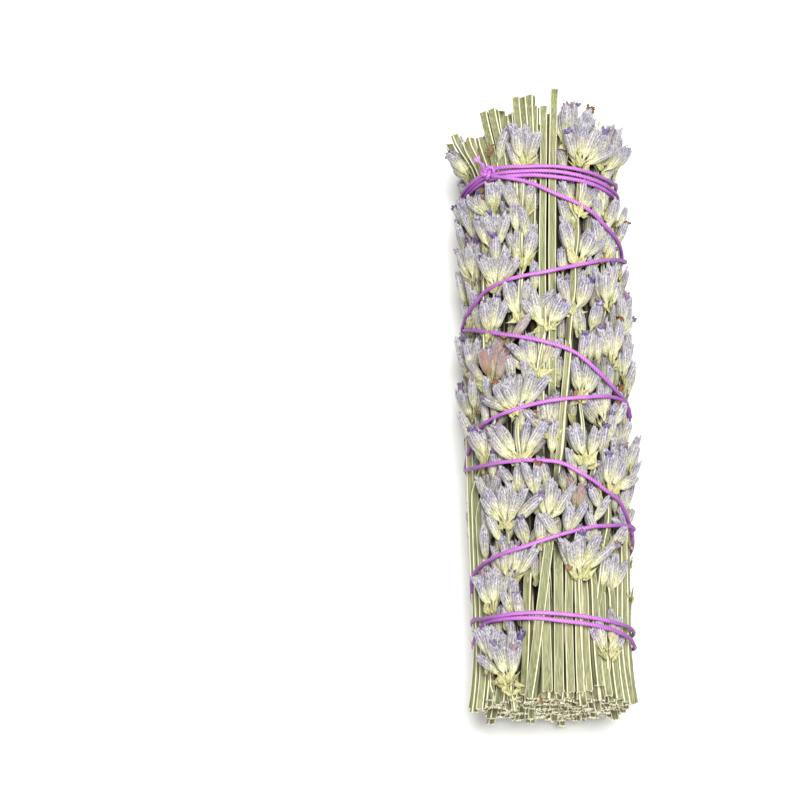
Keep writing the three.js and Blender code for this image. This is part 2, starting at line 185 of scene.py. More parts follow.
class Bunch:
    """The shape that everything is wrapped on, in millimetres."""

    NARROWED_OVER = 68  # from where it is fullest to where the whole of drawn_in is lost
    FLARES_FROM = 56  # beyond both ties it spreads again, with the square of the way
    FLARE_AT_TIPS, FLARE_AT_CUT_ENDS = 0.00045, 0.00034
    LOWEST = 0.02  # nothing lies lower than this above the floor

    def __init__(self, scene):
        sizes = scene.lavender_bunch
        for name in ("half_width", "half_height", "half_base", "fullest_at", "axis_height"):
            setattr(self, name, getattr(sizes, name) / MM)
        self.drawn_in = sizes.drawn_in

    def girth(self, y):
        """The girth at y, as a share of the girth where the bunch is fullest."""
        flare = self.FLARE_AT_TIPS * np.maximum(0, y - self.FLARES_FROM) ** 2
        flare = flare + self.FLARE_AT_CUT_ENDS * np.maximum(0, -self.FLARES_FROM - y) ** 2
        return 1 - self.drawn_in * ((y - self.fullest_at) / self.NARROWED_OVER) ** 2 + flare

    def stand(self, x, y, z):
        """Places measured from the axis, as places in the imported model, none of them under the floor."""
        return np.stack([x + AXIS_X, y + AXIS_Y, np.maximum(self.axis_height + z, self.LOWEST)], 1)

    def in_space(self, points):
        """Places on the sheet as places in space, still in millimetres."""
        s, y, h = np.asarray(points, float).T
        angle = s / UNROLL_RADIUS
        girth = self.girth(y)
        half = np.where(np.cos(angle) > 0, self.half_height, self.half_base)
        x = (self.half_width * girth + h) * np.sin(angle)
        return self.stand(x, y, (half * girth + h) * np.cos(angle))

    def wrap(self, points):
        return self.in_space(points) * MM

    def place_core(self, points):
        """Places inside the bunch, given as x and z from its axis and y along it, in metres."""
        x, y, z = np.asarray(points, float).T
        girth = self.girth(y)
        return self.stand(x * girth, y, z * girth) * MM


# ---------------------------------------------------------------- mesh tools


class Piece:
    """The parts of one piece: their vertices, faces and finishes, and what each vertex tells them.

    along runs from 0 at a part's foot to 1 at its tip, and past 1 in the hollow of a cut end. rib is 1
    on a ridge and 0 in a furrow, tint differs from part to part, and age is 0 where a part kept its colour
    and 1 where it withered. The last mark is painted shade: 1 where the colour is darkened most, standing in
    for the shade between the parts, inside the calyx mouths and down the sides of the thread."""

    MARKS = ("along", "rib", "tint", "age", "deep")

    def __init__(self):
        self.points, self.faces, self.finishes, self.count = [], [], [], 0
        self.marks = {name: [] for name in self.MARKS}

    def add(self, points, faces, finish=0, **marks):
        points = np.asarray(points, float).reshape(-1, 3)
        self.points.append(points)
        self.faces.append(np.asarray(faces) + self.count)
        self.finishes.append(np.full(len(faces), finish))
        for name in self.MARKS:
            values = np.ravel(marks.get(name, 0.0))
            self.marks[name].append(np.broadcast_to(values, len(points)))
        self.count += len(points)

    def build(self, name, place, materials, depth):
        """Makes the object. place turns the points to metres, and depth tells how much painted shade each of
        them gets.
        """
        mesh = bpy.data.meshes.new(name)
        points = np.concatenate(self.points)
        # Painted shade: each point keeps the darker of its own painted shade and what depth gives it.
        self.marks["deep"] = [np.maximum(np.concatenate(self.marks["deep"]), depth(points))]
        mesh.from_pydata(place(points), [], np.concatenate(self.faces).tolist())
        mesh.polygons.foreach_set("use_smooth", np.ones(len(mesh.polygons), bool))
        mesh.polygons.foreach_set("material_index", np.concatenate(self.finishes).astype(np.int32))
        for mark, values in self.marks.items():
            layer = mesh.attributes.new(mark, "FLOAT", "POINT")
            layer.data.foreach_set("value", np.concatenate(values).astype(np.float32))
        for material in materials:
            mesh.materials.append(material)
        mesh.validate()
        mesh.update()
        piece = bpy.data.objects.new(name, mesh)
        bpy.context.scene.collection.objects.link(piece)
        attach(piece, "root")
        return piece


def sheet_faces(rows, columns, closed=True):
    """The faces between rows of points, each row closed to a ring or left open."""
    column = np.arange(columns if closed else columns - 1)
    row = np.arange(rows - 1)[:, None] * columns
    beside = (column + 1) % columns
    corners = [row + column, row + beside, row + columns + beside, row + columns + column]
    return np.stack(np.broadcast_arrays(*corners), -1).reshape(-1, 4)


def smooth_noise(random, count, step, size):
    """A smooth random run of numbers: new ones every step, eased between."""
    knots = random.normal(0, size, int(count / step) + 3)
    at = np.arange(count) / step
    low = at.astype(int)
    ease = 0.5 - 0.5 * np.cos(pi * (at - low))
    return knots[low] * (1 - ease) + knots[low + 1] * ease


def eased(value, low, high):
    """0 up to low and 1 from high on, with a soft step between. low may also be the greater one."""
    t = np.clip((value - low) / (high - low), 0, 1)
    return t * t * (3 - 2 * t)


# ---------------------------------------------------------------- materials


def add(tree, kind, inputs=None, **settings):
    """Adds a node to a material, with its settings, and its inputs as values or as links."""
    node = tree.nodes.new(kind)
    for name, value in settings.items():
        setattr(node, name, value)
    for name, value in (inputs or {}).items():
        socket = node.inputs[name]
        if isinstance(value, bpy.types.NodeSocket):
            tree.links.new(value, socket)
        else:
            socket.default_value = (*value, 1) if socket.type == "RGBA" else value
    return node


def new_material(name, constants, *marks):
    """A material with its shader, the values that hold all over it, and the marks that it reads."""
    material = bpy.data.materials.new(name)
    material.use_nodes = True
    tree = material.node_tree
    tree.nodes.clear()
    shader = add(tree, "ShaderNodeBsdfPrincipled", constants)
    add(tree, "ShaderNodeOutputMaterial", {"Surface": shader.outputs[0]})
    told = (add(tree, "ShaderNodeAttribute", attribute_name=mark).outputs["Fac"] for mark in marks)
    return material, tree, shader, *told


def grain(tree, across, along, detail=3.0):
    """Noise on the object's own place, with its grain size in millimetres across and along the bunch."""
    place = add(tree, "ShaderNodeTexCoord").outputs["Object"]
    scale = (1 / (across * MM), 1 / (along * MM), 1 / (across * MM))
    laid = add(tree, "ShaderNodeMapping", {"Vector": place, "Scale": scale}).outputs[0]
    return add(tree, "ShaderNodeTexNoise", {"Vector": laid, "Scale": 1.0, "Detail": detail}).outputs["Fac"]


def tinted(tree, skin, over, by, low=0.0, high=1.0, most=1.0):
    """A colour with another laid over it: none where by is low, and its greatest share where it is high."""
    part = add(tree, "ShaderNodeMapRange", {0: by, 1: low, 2: high, 4: most}).outputs[0]
    return add(tree, "ShaderNodeMix", {0: part, 6: skin, 7: over}, data_type="RGBA").outputs[2]


def layered(tree, skin, *layers):
    """A colour with others laid over it in turn, each as tinted lays it."""
    for layer in layers:
        skin = tinted(tree, skin, *layer)
    return skin


def with_painted_shade(tree, skin, deep):
    """Painted shade: a colour darkened towards near black where the part lies deep between the others,
    standing in for the shade that falls there.
    """
    # The near-black colour of the painted shade.
    return tinted(tree, skin, linear("#1b150e"), deep, most=0.93)


def dress(tree, shader, skin, relief, depth, strength):
    """Gives a shader its colour, and a relief of a real depth in millimetres."""
    bump = add(tree, "ShaderNodeBump", {"Height": relief, "Distance": depth * MM, "Strength": strength})
    tree.links.new(skin, shader.inputs["Base Color"])
    tree.links.new(bump.outputs[0], shader.inputs["Normal"])


def dried_stalk(colours):
    """Lavender stalk, cut green and hung to dry. Its sides shrink and turn a dull grey-green, while the
    woody corner ribs stay proud and bleach to cream, so that each stalk looks striped along."""
    constants = {"IOR": 1.45, "Specular IOR Level": 0.35}
    material, tree, shader, *told = new_material("dried_stalk", constants, *Piece.MARKS)
    along, rib, tint, age, deep = told
    shaded, greyed, scuffed = map(linear, ("#4c5630", "#4a4426", "#a98a5a"))
    fibre = grain(tree, 0.18, 5.0)  # fibres 0.2 mm apart, in runs of about 5 mm
    blotch = grain(tree, 1.6, 9.0, 2.0)
    skin = layered(
        tree,
        colours.green,
        (colours.straw, tint, 0.25, 1.0),
        (colours.straw, blotch, 0.35, 0.7, 0.55),
        (colours.rib_colour, fibre, 0.4, 0.75, 0.3),
        (shaded, fibre, 0.5, 0.25, 0.35),
        (greyed, age, 0.0, 1.0, 0.75),
        (colours.rib_colour, rib, 0.35, 0.9, 0.92),
        (scuffed, grain(tree, 0.7, 3.0, 4.0), 0.66, 0.74, 0.6),
        (colours.pith, along, 0.6, 0.9),
        # Painted shade in the hollow of a cut end, where along passes 1.
        (colours.dark, along, 1.1, 1.4),
    )
    # Painted shade where the stalk lies deep between the others.
    dress(tree, shader, with_painted_shade(tree, skin, deep), fibre, 0.12, 0.6)
    rough = add(tree, "ShaderNodeMapRange", {0: fibre, 1: 0.3, 2: 0.7, 3: 0.5, 4: 0.75})
    tree.links.new(rough.outputs[0], shader.inputs["Roughness"])
    return material


def felted_calyx(colours):
    """Lavender calyx, dried. It is covered in short branched hairs that leave a grey bloom over the
    violet, thickest along its ribs, and its foot, where the hairs are few, shows yellow-green. Shade is
    painted into its furrows, and its pale ribs carry a painted highlight as well as the bloom."""
    constants = {
        "Roughness": 0.9,
        "IOR": 1.45,
        "Specular IOR Level": 0.2,
        "Sheen Weight": 0.7,
        "Sheen Roughness": 0.35,
        "Sheen Tint": linear("#eceaf2"),
    }
    material, tree, shader, *told = new_material("felted_calyx", constants, *Piece.MARKS)
    along, rib, tint, age, deep = told
    laid_over = ("#a5a3a1", "#a3a455", "#37313c", "#443e4b", "#8d685c")
    ash, olive, painted_groove_shade, bare, faded = map(linear, laid_over)
    felt = grain(tree, 0.22, 0.6, 4.0)  # tufts of hair, really 0.1 mm, drawn at 0.2 mm to show
    patch = grain(tree, 1.3, 1.8, 2.0)
    bloom = grain(tree, 0.6, 2.6, 2.0)
    foot = tinted(tree, olive, colours.lime, patch, 0.35, 0.65)
    bloomed = add(tree, "ShaderNodeMapRange", {0: bloom, 1: 0.35, 2: 0.65, 3: 0.45, 4: 1.1}).outputs[0]
    ridge = add(tree, "ShaderNodeMath", {0: rib, 1: bloomed}, operation="MULTIPLY").outputs[0]
    rusted = tinted(tree, colours.withered, faded, along, 0.25, 0.6)
    skin = layered(
        tree,
        colours.grey,
        (colours.violet, tint, 0.45, 1.0, 0.6),
        (colours.violet, along, 0.72, 1.0, 0.6),
        (ash, patch, 0.45, 0.7, 0.5),
        (foot, along, 0.72, 0.34),
        # Painted shade in the furrows between the ribs and inside the mouth, where rib is 0.
        (painted_groove_shade, rib, 0.34, 0.0, 0.42),
        # Pale felt along the ribs, with a painted highlight on their crests.
        (colours.pale, ridge, 0.25, 0.9, 0.55),
        (colours.pale, felt, 0.46, 0.72, 0.52),
        (bare, felt, 0.44, 0.26, 0.55),
        (colours.pale, along, 0.93, 1.0, 0.5),
        (rusted, age, 0.3, 1.0, 0.78),
    )
    # Painted shade where the calyx lies deep between the others and down its hollow.
    dress(tree, shader, with_painted_shade(tree, skin, deep), felt, 0.2, 0.9)
    return material


def dried_petal(colours):
    """Lavender corolla, dried where it grew. It shrivels to a thin crumpled rag of strong violet-blue
    that bleaches or browns along its edges. Its crumples carry a painted lilac highlight on their tops and
    painted shade in their creases."""
    constants = {"Roughness": 0.7, "IOR": 1.45, "Specular IOR Level": 0.3}
    marks = ("along", "tint", "age", "deep")
    material, tree, shader, along, tint, age, deep = new_material("dried_petal", constants, *marks)
    laid_over = ("#8e7fac", "#30284e", "#b9a9b9", "#a58b86", "#8a6a48")
    painted_lilac_highlight, painted_fold_shade, bleached, browned, tan = map(linear, laid_over)
    fold = grain(tree, 0.35, 0.5, 4.0)
    skin = layered(
        tree,
        colours.petal,
        # Painted highlight on the raised crumples.
        (painted_lilac_highlight, fold, 0.35, 0.7, 0.6),
        # Painted shade in the creases between them.
        (painted_fold_shade, fold, 0.45, 0.25, 0.6),
        (bleached, along, 0.75, 1.0, 0.45),
        (browned, tint, 0.55, 1.0, 0.55),
        (tinted(tree, colours.withered, tan, fold), age, 0.3, 1.0),
    )
    # Painted shade where the petal lies deep between the others.
    dress(tree, shader, with_painted_shade(tree, skin, deep), fold, 0.25, 0.8)
    return material


def papery_bract(colours):
    """Lavender bract and pedicel, dried. A thin, dry leaf, straw to yellow-green with raised veins, that
    turns rust brown where it withered first."""
    constants = {"Roughness": 0.65, "IOR": 1.45, "Specular IOR Level": 0.35}
    material, tree, shader, *told = new_material("papery_bract", constants, *Piece.MARKS)
    along, rib, tint, age, deep = told
    laid_over = ("#848c42", "#dcd5b4", "#5e5634", "#e4dfc2", "#a98350")
    green, straw, shaded, vein, scorched = map(linear, laid_over)
    speckle = grain(tree, 0.3, 0.8, 4.0)
    skin = layered(
        tree,
        colours.leaf,
        (green, tint, 0.3, 1.0),
        (straw, speckle, 0.4, 0.75, 0.6),
        (shaded, speckle, 0.47, 0.25, 0.7),
        (vein, rib, 0.4, 1.0, 0.6),
        (scorched, along, 0.7, 1.0, 0.5),
        (colours.withered, age, 0.3, 1.0, 0.8),
    )
    # Painted shade where the bract lies deep between the others.
    dress(tree, shader, with_painted_shade(tree, skin, deep), speckle, 0.12, 0.6)
    return material


def waxed_cotton(colours):
    """Cotton thread, twisted from three plies, dyed orchid and drawn through wax. The wax lays its fuzz
    flat; a painted highlight stands for its soft, broken gloss along the top of each ply, and the thread is
    darker between them. Down its sides, plum is painted in as shade."""
    constants = {"Roughness": 0.5, "IOR": 1.45, "Coat Weight": 0.15, "Coat Roughness": 0.4}
    marks = ("rib", "tint", "deep")
    material, tree, shader, rib, tint, deep = new_material("waxed_cotton", constants, *marks)
    painted_glint, dark_dye, fluff = map(linear, ("#ecaaf1", "#963fa4", "#d9a3e6"))
    fibre = grain(tree, 0.12, 0.12, 3.0)
    ply = layered(
        tree,
        colours.plum,
        (colours.orchid, rib, 0.1, 0.8),
        # Painted highlight on the tops of the fibres.
        (painted_glint, fibre, 0.45, 0.75, 0.4),
        (dark_dye, grain(tree, 2.2, 2.2, 2.0), 0.4, 0.7, 0.35),
        # Painted shade in plum down the sides of the thread.
        (colours.plum, deep, 0.0, 1.0, 0.75),
        (fluff, tint, 0.5, 1.0, 0.5),
    )
    dress(tree, shader, ply, fibre, 0.08, 0.7)
    return material


def matt_sweep_paper(colours):
    """White sweep paper, calendered matt. It scatters light evenly, so it shows only soft shade."""
    material, tree, shader = new_material("matt_sweep_paper", {"Roughness": 0.9, "Specular IOR Level": 0.1})
    tooth = grain(tree, 1.2, 1.2, 2.0)
    paper = tinted(tree, colours.paper, linear("#eeeeec"), tooth, 0.3, 0.7, 0.1)
    tree.links.new(paper, shader.inputs["Base Color"])
    return material


# ---------------------------------------------------------------- what is already in the way


class Taken:
    """Lines with a thickness that already lie on the sheet, with the group that each belongs to.

    A line is laid up to three times, once round apart, so that the sheet has no edge there. Those of a
    group under 0, such as the thread and the bare stalks, give way to nothing."""

    THREAD, STALK = -1, -2
    GIVES_WAY, GIVES_WAY_TO_ITS_OWN = 0.2, 0.45  # the share of their thickness that flowers press in
    ALL_CLEAR = 9.0  # the room where nothing is near
    OVERLAP = 0.7  # how much of a turn the sheet reaches to each side

    def __init__(self):
        self.start, self.end, self.radius, self.group = [], [], [], []
        self.arrays = None

    def lay(self, start, end, radius, group):
        home = -ROUND * round(start[0] / ROUND)
        for turn in (-1, 0, 1):
            shift = home + turn * ROUND
            if abs(start[0] + shift) < self.OVERLAP * ROUND:
                self.start.append((start[0] + shift, *start[1:]))
                self.end.append((end[0] + shift, *end[1:]))
                self.radius.append(radius)
                self.group.append(group)
        self.arrays = None

    def near(self, place, reach):
        """The lines within reach of a place."""
        if self.arrays is None:
            lines = (self.start, self.end, self.radius, self.group)
            self.arrays = tuple(np.array(part, float) for part in lines)
        start, end, radius, group = self.arrays
        middle = (start + end) / 2
        half = np.abs(end - start).sum(1) / 2
        away = np.abs(middle[:, :2] - place[:2])
        close = (away < (reach + half)[:, None]).all(1)
        return start[close], end[close], radius[close], group[close]

    def gaps(self, points, radii, near, group, over_thread):
        """The room between each ball and the lines near it, for every try. Negative is an overlap. The
        thread and the bare stalks stay uncovered, so above its middle each counts as a wall, but a flower
        that lies over the thread need only clear it."""
        start, end, radius, theirs = near
        if not len(start):
            return np.full(len(points), self.ALL_CLEAR)
        line = end - start
        square = np.maximum((line**2).sum(1), 1e-9)
        offset = points[:, :, None] - start
        wall = (theirs == self.STALK) | ((theirs == self.THREAD) & (not over_thread))
        offset[..., 2] = np.where(wall, np.minimum(offset[..., 2], 0), offset[..., 2])
        at = np.clip((offset * line).sum(-1) / square, 0, 1)
        apart = np.linalg.norm(offset - at[..., None] * line, axis=-1)
        soft = np.where(theirs == group, self.GIVES_WAY_TO_ITS_OWN, self.GIVES_WAY)
        soft = np.where(theirs < 0, 0.0, soft)
        return (apart - (radius + radii[None, :, None]) * (1 - soft)).min((1, 2))


def cover(place, near):
    """How far a place on the sheet is from the nearest line, seen from outside."""
    start, end, radius, _ = near
    line = (end - start)[:, :2]
    offset = place[:2] - start[:, :2]
    at = np.clip((offset * line).sum(1) / np.maximum((line**2).sum(1), 1e-9), 0, 1)
    return (np.linalg.norm(offset - at[:, None] * line, axis=1) - radius).min()


# ---------------------------------------------------------------- stalks

# Bare stalks that lie proud on the outside: angle at the middle in degrees, ends along y, lean in
# degrees from end to end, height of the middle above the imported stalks, roll, width, and the stretch
# along y that no flower lies on.
PROUD_STALKS = [
    (3.5, -8, 75.3, 7.1, 1.3, 0, 1.9, 24, 76),
    (-4.6, -20, 71.2, 10, 1.1, 4, 1.75, 24, 72),
    (-9.2, 30, 71.2, 5.9, 0.6, 12, 2.0, 64, 72),
    (9, -28, 19, 16.6, 1.75, 30, 1.6, -22, 15),
    (-55, -2, 52, 0, 1.5, 20, 1.7, 12, 39),
    (60, -6, 16, 14, 1.5, 10, 1.7, -1, 9),
    (-88, -73.5, 8, 4, 2.3, 15, 1.8, -74, 0),
    (-80, -74.8, -12, 1, 2.0, 0, 1.9, -75, -15),
    (-72, -74.4, -18, 1, 1.5, 35, 1.8, -75, -22),
    (-64, -72.6, -40, 0, 0.6, 10, 1.9, -74, -66),
    (-11.5, -73.8, -31, 20, 1.75, 0, 2.2, -74, -38),
    (-24, -72.6, -36, 6, 0.5, 5, 2.1, -73, -46),
    (-9.5, -72.2, -34, 1, 0.35, 0, 2.5, -73, -42),
    (0.5, -72.7, -34, 3, 0.5, 0, 2.4, -73, -42),
    (9, -72.3, -34, 4, 0.5, 0, 2.1, -73, -46),
    (16, -72.4, -36, 2, 0.9, 8, 1.9, -73, -46),
    (23.5, -71.8, -38, 0, 0.2, 20, 1.7, -72, -50),
    (30, -70.5, -36, -1, 0.9, 0, 1.9, -54, -46),
    (40, -72.6, -38, 0, 0.4, 30, 1.9, -55, -48),
    (49, -73.2, -38, 0, 0.8, 10, 1.9, -74, -66),
    (58, -73.5, -30, 1, 0.9, 0, 1.9, -74, -67),
    (67, -73.8, -14, 2, 1.1, 20, 1.9, -74, -44),
    (76, -73.0, -14, 2, 1.2, 0, 1.9, -74, -40),
    (85, -72.5, -10, 1, 1.3, 30, 1.9, -74, -18),
    (33, -28, -7, 0, 1.7, 20, 1.2, -25, -10),
    (114, -44, -30, 0, 1.0, 0, 1.9, -44, -32),
    (179, -43, -27, 0, 1.0, 0, 1.9, -43, -30),
]

# Stalk ends that fan out above the top tie: where each one ends, as angle, y and height, how far it leans
# on its way there in degrees, and its roll.
TOP_STALKS = [
    (-88, 68.5, 5.4, -9, 10),
    (-79, 69.7, 4.4, -11, 0),
    (-70, 66.5, 3.0, -10, 30),
    (-63, 66.9, 3.0, -9, 5),
    (-55, 66.0, 1.8, -7, 20),
    (-47, 72.1, 1.5, -6, 0),
    (-38.5, 72.0, 1.6, -5, 10),
    (-34, 71.5, 0.6, -4, 40),
    (-29, 70.0, 0.4, -3, 15),
    (-24.5, 70.5, 0.0, -2, 35),
    (-19.7, 73.7, 1.5, -1, 5),
    (-14, 73.9, 0.6, -1, 30),
    (-9, 74.2, 0.8, 0, 25),
]


def square_section(rib, points_a_side):
    """Round a stalk one wide: a square with sunken sides and a proud rib at each corner, and its marks."""
    side = np.linspace(0, 1, points_a_side, endpoint=False)
    from_corner = np.minimum(side, 1 - side)
    sunk = 0.13 * np.clip((from_corner - 0.5 * rib) / 0.32, 0, 1) ** 0.7
    proud = 0.12 * np.clip(1 - from_corner / (0.6 * rib), 0, 1)
    x = side - 0.5 + 0.7 * proud * np.sign(0.5 - side)
    y = sunk - 0.5 + 0.5 * proud
    outline = []
    for corner in range(4):
        c, s = cos(corner * pi / 2), sin(corner * pi / 2)
        outline.append(np.stack([c * x - s * y, s * x + c * y], 1))
    return np.concatenate(outline), np.tile(np.clip(1.25 - from_corner / rib, 0, 1), 4)


def stalk_part(piece, random, path, width, rib, roll, tint, hollow, finish=0, detail=6, age=0.0, stretch=1.0):
    """A square stalk along a path on the sheet, hollow where it is cut raggedly at both ends."""
    outline, marks = square_section(rib / float(np.mean(width)), detail)
    turn = np.radians(roll)
    c, s = np.cos(turn), np.sin(turn)
    across = stretch * (np.outer(c, outline[:, 0]) - np.outer(s, outline[:, 1]))
    height = np.outer(s, outline[:, 0]) + np.outer(c, outline[:, 1])
    columns = len(outline)
    x, y, h = np.asarray(path, float).T[..., None]
    wide = np.broadcast_to(width, len(path))[:, None]

    def ring(at, scale, push, ragged):
        reach = wide[at] * scale
        edge = y[at] + push + ragged * random.normal(size=columns)
        return np.stack([x[at] + across[at] * reach, edge, h[at] + height[at] * reach], 1)

    rim = 0.2 if hollow > 1 else 0.05
    # From the hollow out to the edge of the cut: width, how far in, how ragged, and the mark along.
    cut = [(0.1, hollow, 0, 2.0), (0.6, 0.5 * hollow, 0, 1.7), (0.66, 0, rim, 1.1), (0.98, -0.03, rim, 1.0)]
    foot = [ring(0, scale, push, ragged) for scale, push, ragged, _ in cut]
    tip = [ring(-1, scale, -push, ragged) for scale, push, ragged, _ in reversed(cut)]
    body = np.stack(np.broadcast_arrays(x + across * wide, y, h + height * wide), -1)
    rows = [*foot, *body, *tip]
    opening = [mark for *_, mark in cut]
    along = np.repeat([*opening, *[0.0] * len(path), *reversed(opening)], columns)
    faces = sheet_faces(len(rows), columns)
    piece.add(rows, faces, finish, along=along, rib=np.tile(marks, len(rows)), tint=tint, age=age)


PROUD_RISE = 12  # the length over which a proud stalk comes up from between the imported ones
PACKED_DEPTH = 1.6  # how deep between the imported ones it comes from
SHOWN_END = 60  # an end beyond this shows, and stays up


def proud_path(random, angle, low, high, lean, height):
    """The path of a proud stalk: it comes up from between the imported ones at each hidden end."""
    steps = max(4, int((high - low) / 2.6))
    y = np.linspace(low, high, steps)
    share_along = (y - (low + high) / 2) / (high - low)
    s = around(angle) + around(lean) * share_along + smooth_noise(random, steps, 7, 0.12)
    h = np.full(steps, height) + smooth_noise(random, steps, 6, 0.08)
    if high < SHOWN_END:
        h -= (height + PACKED_DEPTH) * eased(y, high - PROUD_RISE, high)
    if low > -SHOWN_END:
        h -= (height + PACKED_DEPTH) * eased(y, low + PROUD_RISE, low)
    return np.stack([s, y, h], 1)


def core_places(random, bunch, inwards, apart):
    """Places packed in staggered rows over the bunch's section, within what its two outer layers leave."""
    widest, next_to, astray = 20, 1.07, 0.09  # the last two in shares of how far apart the rows are
    reach = 2 * inwards + 0.2
    half = bunch.half_width - reach
    rows = range(-int(widest / apart), int(widest / apart) + 1)
    for row in rows:
        for column in rows:
            x = (column + 0.5 * (row % 2)) * apart * next_to + astray * apart * random.normal()
            z = row * apart + astray * apart * random.normal()
            tall = (bunch.half_height if z > 0 else bunch.half_base) - reach
            if (x / half) ** 2 + (z / tall) ** 2 < 1:
                yield x, z


def in_flower_end(x, z):
    """Whether the tip end shows flowers here. At its upper left it shows cut stalks."""
    return x > 1 or z < -3


class Stalks:
    """Makes all bare stalks from one run of random numbers: the outer ones that show, and those inside,
    which show at both cut ends."""

    NEXT_TO = 1.07  # from one stalk to the next, in stalk widths
    TOPMOST = 0.95  # how deep the middles of the outermost layer lie
    LAYER = 1.03  # from one layer to the next, in stalk widths

    def __init__(self, sizes, bunch):
        self.random = np.random.default_rng(sizes.seed)
        self.width, self.rib, self.hollow = sizes.width / MM, sizes.rib / MM, sizes.hollow / MM
        self.bunch = bunch
        self.outer, self.inner = Piece(), Piece()
        self.pack_layer(0)
        self.pack_layer(1)
        self.pack_core()
        self.fan_out_at_the_tips()
        self.lay_proud_ones()

    def add(self, piece, path, wide, roll, tint, **more):
        stalk_part(piece, self.random, path, wide, self.rib, roll, tint, self.hollow, **more)

    def cut_ends(self, angle):
        """Where a stalk is cut off. Few reach far past the others at the cut ends."""
        top = 63 + 3.5 * cos(angle + 0.6) + 6 * self.random.random() ** 2
        bottom = -73.4 + 0.4 * cos(angle) - 0.9 * self.random.random() - 2.2 * self.random.random() ** 16
        return bottom, top

    def twist(self, steps, roll):
        """A roll in degrees that changes a little on the way."""
        return roll + smooth_noise(self.random, steps, 9, 5)

    def pack_layer(self, layer):
        """One of the two outer layers, in which they lie side by side. The lower one fills the gaps."""
        random, bunch, width = self.random, self.bunch, self.width
        depth = self.TOPMOST + self.LAYER * width * layer
        ring_radius = (2 * bunch.half_width + bunch.half_height + bunch.half_base) / 4 - depth
        count = int(2 * pi * ring_radius / (width * self.NEXT_TO))
        for i in range(count):
            angle = ((i + 0.25 * random.normal() + 0.5 * layer) / count) * 2 * pi
            angle = angle - 2 * pi if angle > pi else angle
            bottom, top = self.cut_ends(angle)
            if layer == 0 and -82 < degrees(angle) < -8:
                top = 52.0  # those of TOP_STALKS go on from here
            steps = int((top - bottom) / 3.0)
            y = np.linspace(bottom, top, steps)
            wander = smooth_noise(random, steps, 5, 0.16)
            slope = 0.35 * random.normal() * (y / 70)
            s = UNROLL_RADIUS * angle + wander + slope
            h = smooth_noise(random, steps, 6, 0.1) - depth
            roll = random.choice([0, 8, 20, 45, 70]) + 6 * random.normal()
            wide = width * (0.88 + 0.24 * random.random())
            roll, tint, age = self.twist(steps, roll), random.random(), 0.6 * random.random()
            stretch = 1.25 if layer else 1.08
            self.add(self.outer, np.stack([s, y, h], 1), wide, roll, tint, age=age, stretch=stretch)

    def pack_core(self):
        random, width = self.random, self.width
        for x, z in core_places(random, self.bunch, width, 0.97 * width):
            bottom, top = self.cut_ends(np.arctan2(x, z))
            if in_flower_end(x, z):
                top = 57 + 2 * random.random()
            steps = int((top - bottom) / 9.0)
            y = np.linspace(bottom, top, steps)
            x, z = x + smooth_noise(random, steps, 3, 0.1), z + smooth_noise(random, steps, 3, 0.1)
            roll, tint = 25 * random.normal(), random.random()
            wide = width * (0.9 + 0.2 * random.random())
            roll, age = self.twist(steps, roll), 0.4 * random.random()
            self.add(self.inner, np.stack([x, y, z], 1), wide, roll, tint, detail=4, age=age)

    def fan_out_at_the_tips(self):
        for angle, top, high, lean, roll in TOP_STALKS:
            steps = 14
            y = np.linspace(38, top, steps)
            wander = smooth_noise(self.random, steps, 6, 0.08)
            s = around(angle) - around(lean) * (1 - eased(y, 50, top)) + wander
            h = -0.5 + 1.0 * eased(y, 40, 52) + (high - 0.5) * eased(y, 57, top)
            wide = self.width * (0.95 + 0.25 * self.random.random())
            roll, tint = self.twist(steps, roll), self.random.random()
            self.add(self.outer, np.stack([s, y, h], 1), wide, roll, tint)

    def lay_proud_ones(self):
        for angle, low, high, lean, height, roll, wide, *_ in PROUD_STALKS:
            path = proud_path(self.random, angle, low, high, lean, height)
            roll, tint = self.twist(len(path), roll), 0.8 * self.random.random()
            self.add(self.outer, path, wide, roll, tint)


def lay_stalks(taken):
    """The stretch of each proud stalk that stays bare. Nothing lies on it."""
    for angle, low, high, lean, height, _, wide, bare_from, bare_to in PROUD_STALKS:
        ends = []
        for y in (bare_from, bare_to):
            s = around(angle + lean * (y - (low + high) / 2) / (high - low))
            ends.append(np.array([s, y, height]))
        steps = max(1, int((bare_to - bare_from) / 6))
        line = np.linspace(ends[0], ends[1], steps + 1)
        for start, end in zip(line[:-1], line[1:]):
            taken.lay(start, end, wide / 2, Taken.STALK)


# ---------------------------------------------------------------- thread

# The thread's route, as the angle in degrees, growing turn after turn, and y. It goes down from the
# knot to the cut ends, and back up again, and at the cut ends and the tips it is tied.
DOWN = [
    (-42, 54.4), (-14, 51.6), (8, 47.9), (33, 44.9), (50, 41.8), (80, 38.4), (92, 36.8), (180, 27.5),
    (265, 19.8), (311, 15.0), (325, 13.3), (354, 10.3), (376, 7.7), (396, 3.4), (416, -0.3), (431, -1.5),
    (446, -4.2), (540, -11), (630, -16.2), (658, -17.7), (689, -18.4), (722, -19.2), (739, -21.8),
    (761, -25.5), (774, -26.9), (788, -30.7), (800, -33.2), (810, -35), (900, -44), (990, -53),
]
UP = [
    (-180, -55.5), (-95, -47.5), (-78, -43.2), (-44, -40.3), (-21, -38.9), (1, -36.8), (24, -34.7),
    (45, -33.5), (66, -32.1), (90, -31.2), (180, -22), (270, -13.5), (299, -8.4), (330, -6.2), (364, -4.1),
    (387, -3.0), (401, -2.2), (413, -1.9), (426, -2.1), (440, -3.2), (450, -3.0), (540, 9), (630, 21.0),
    (647, 21.8), (660, 23.3), (671, 25.1), (692, 26.4), (715, 27.4), (740, 29.8), (766, 32.7), (793, 35.6),
    (810, 37.2), (900, 45), (990, 52),
]
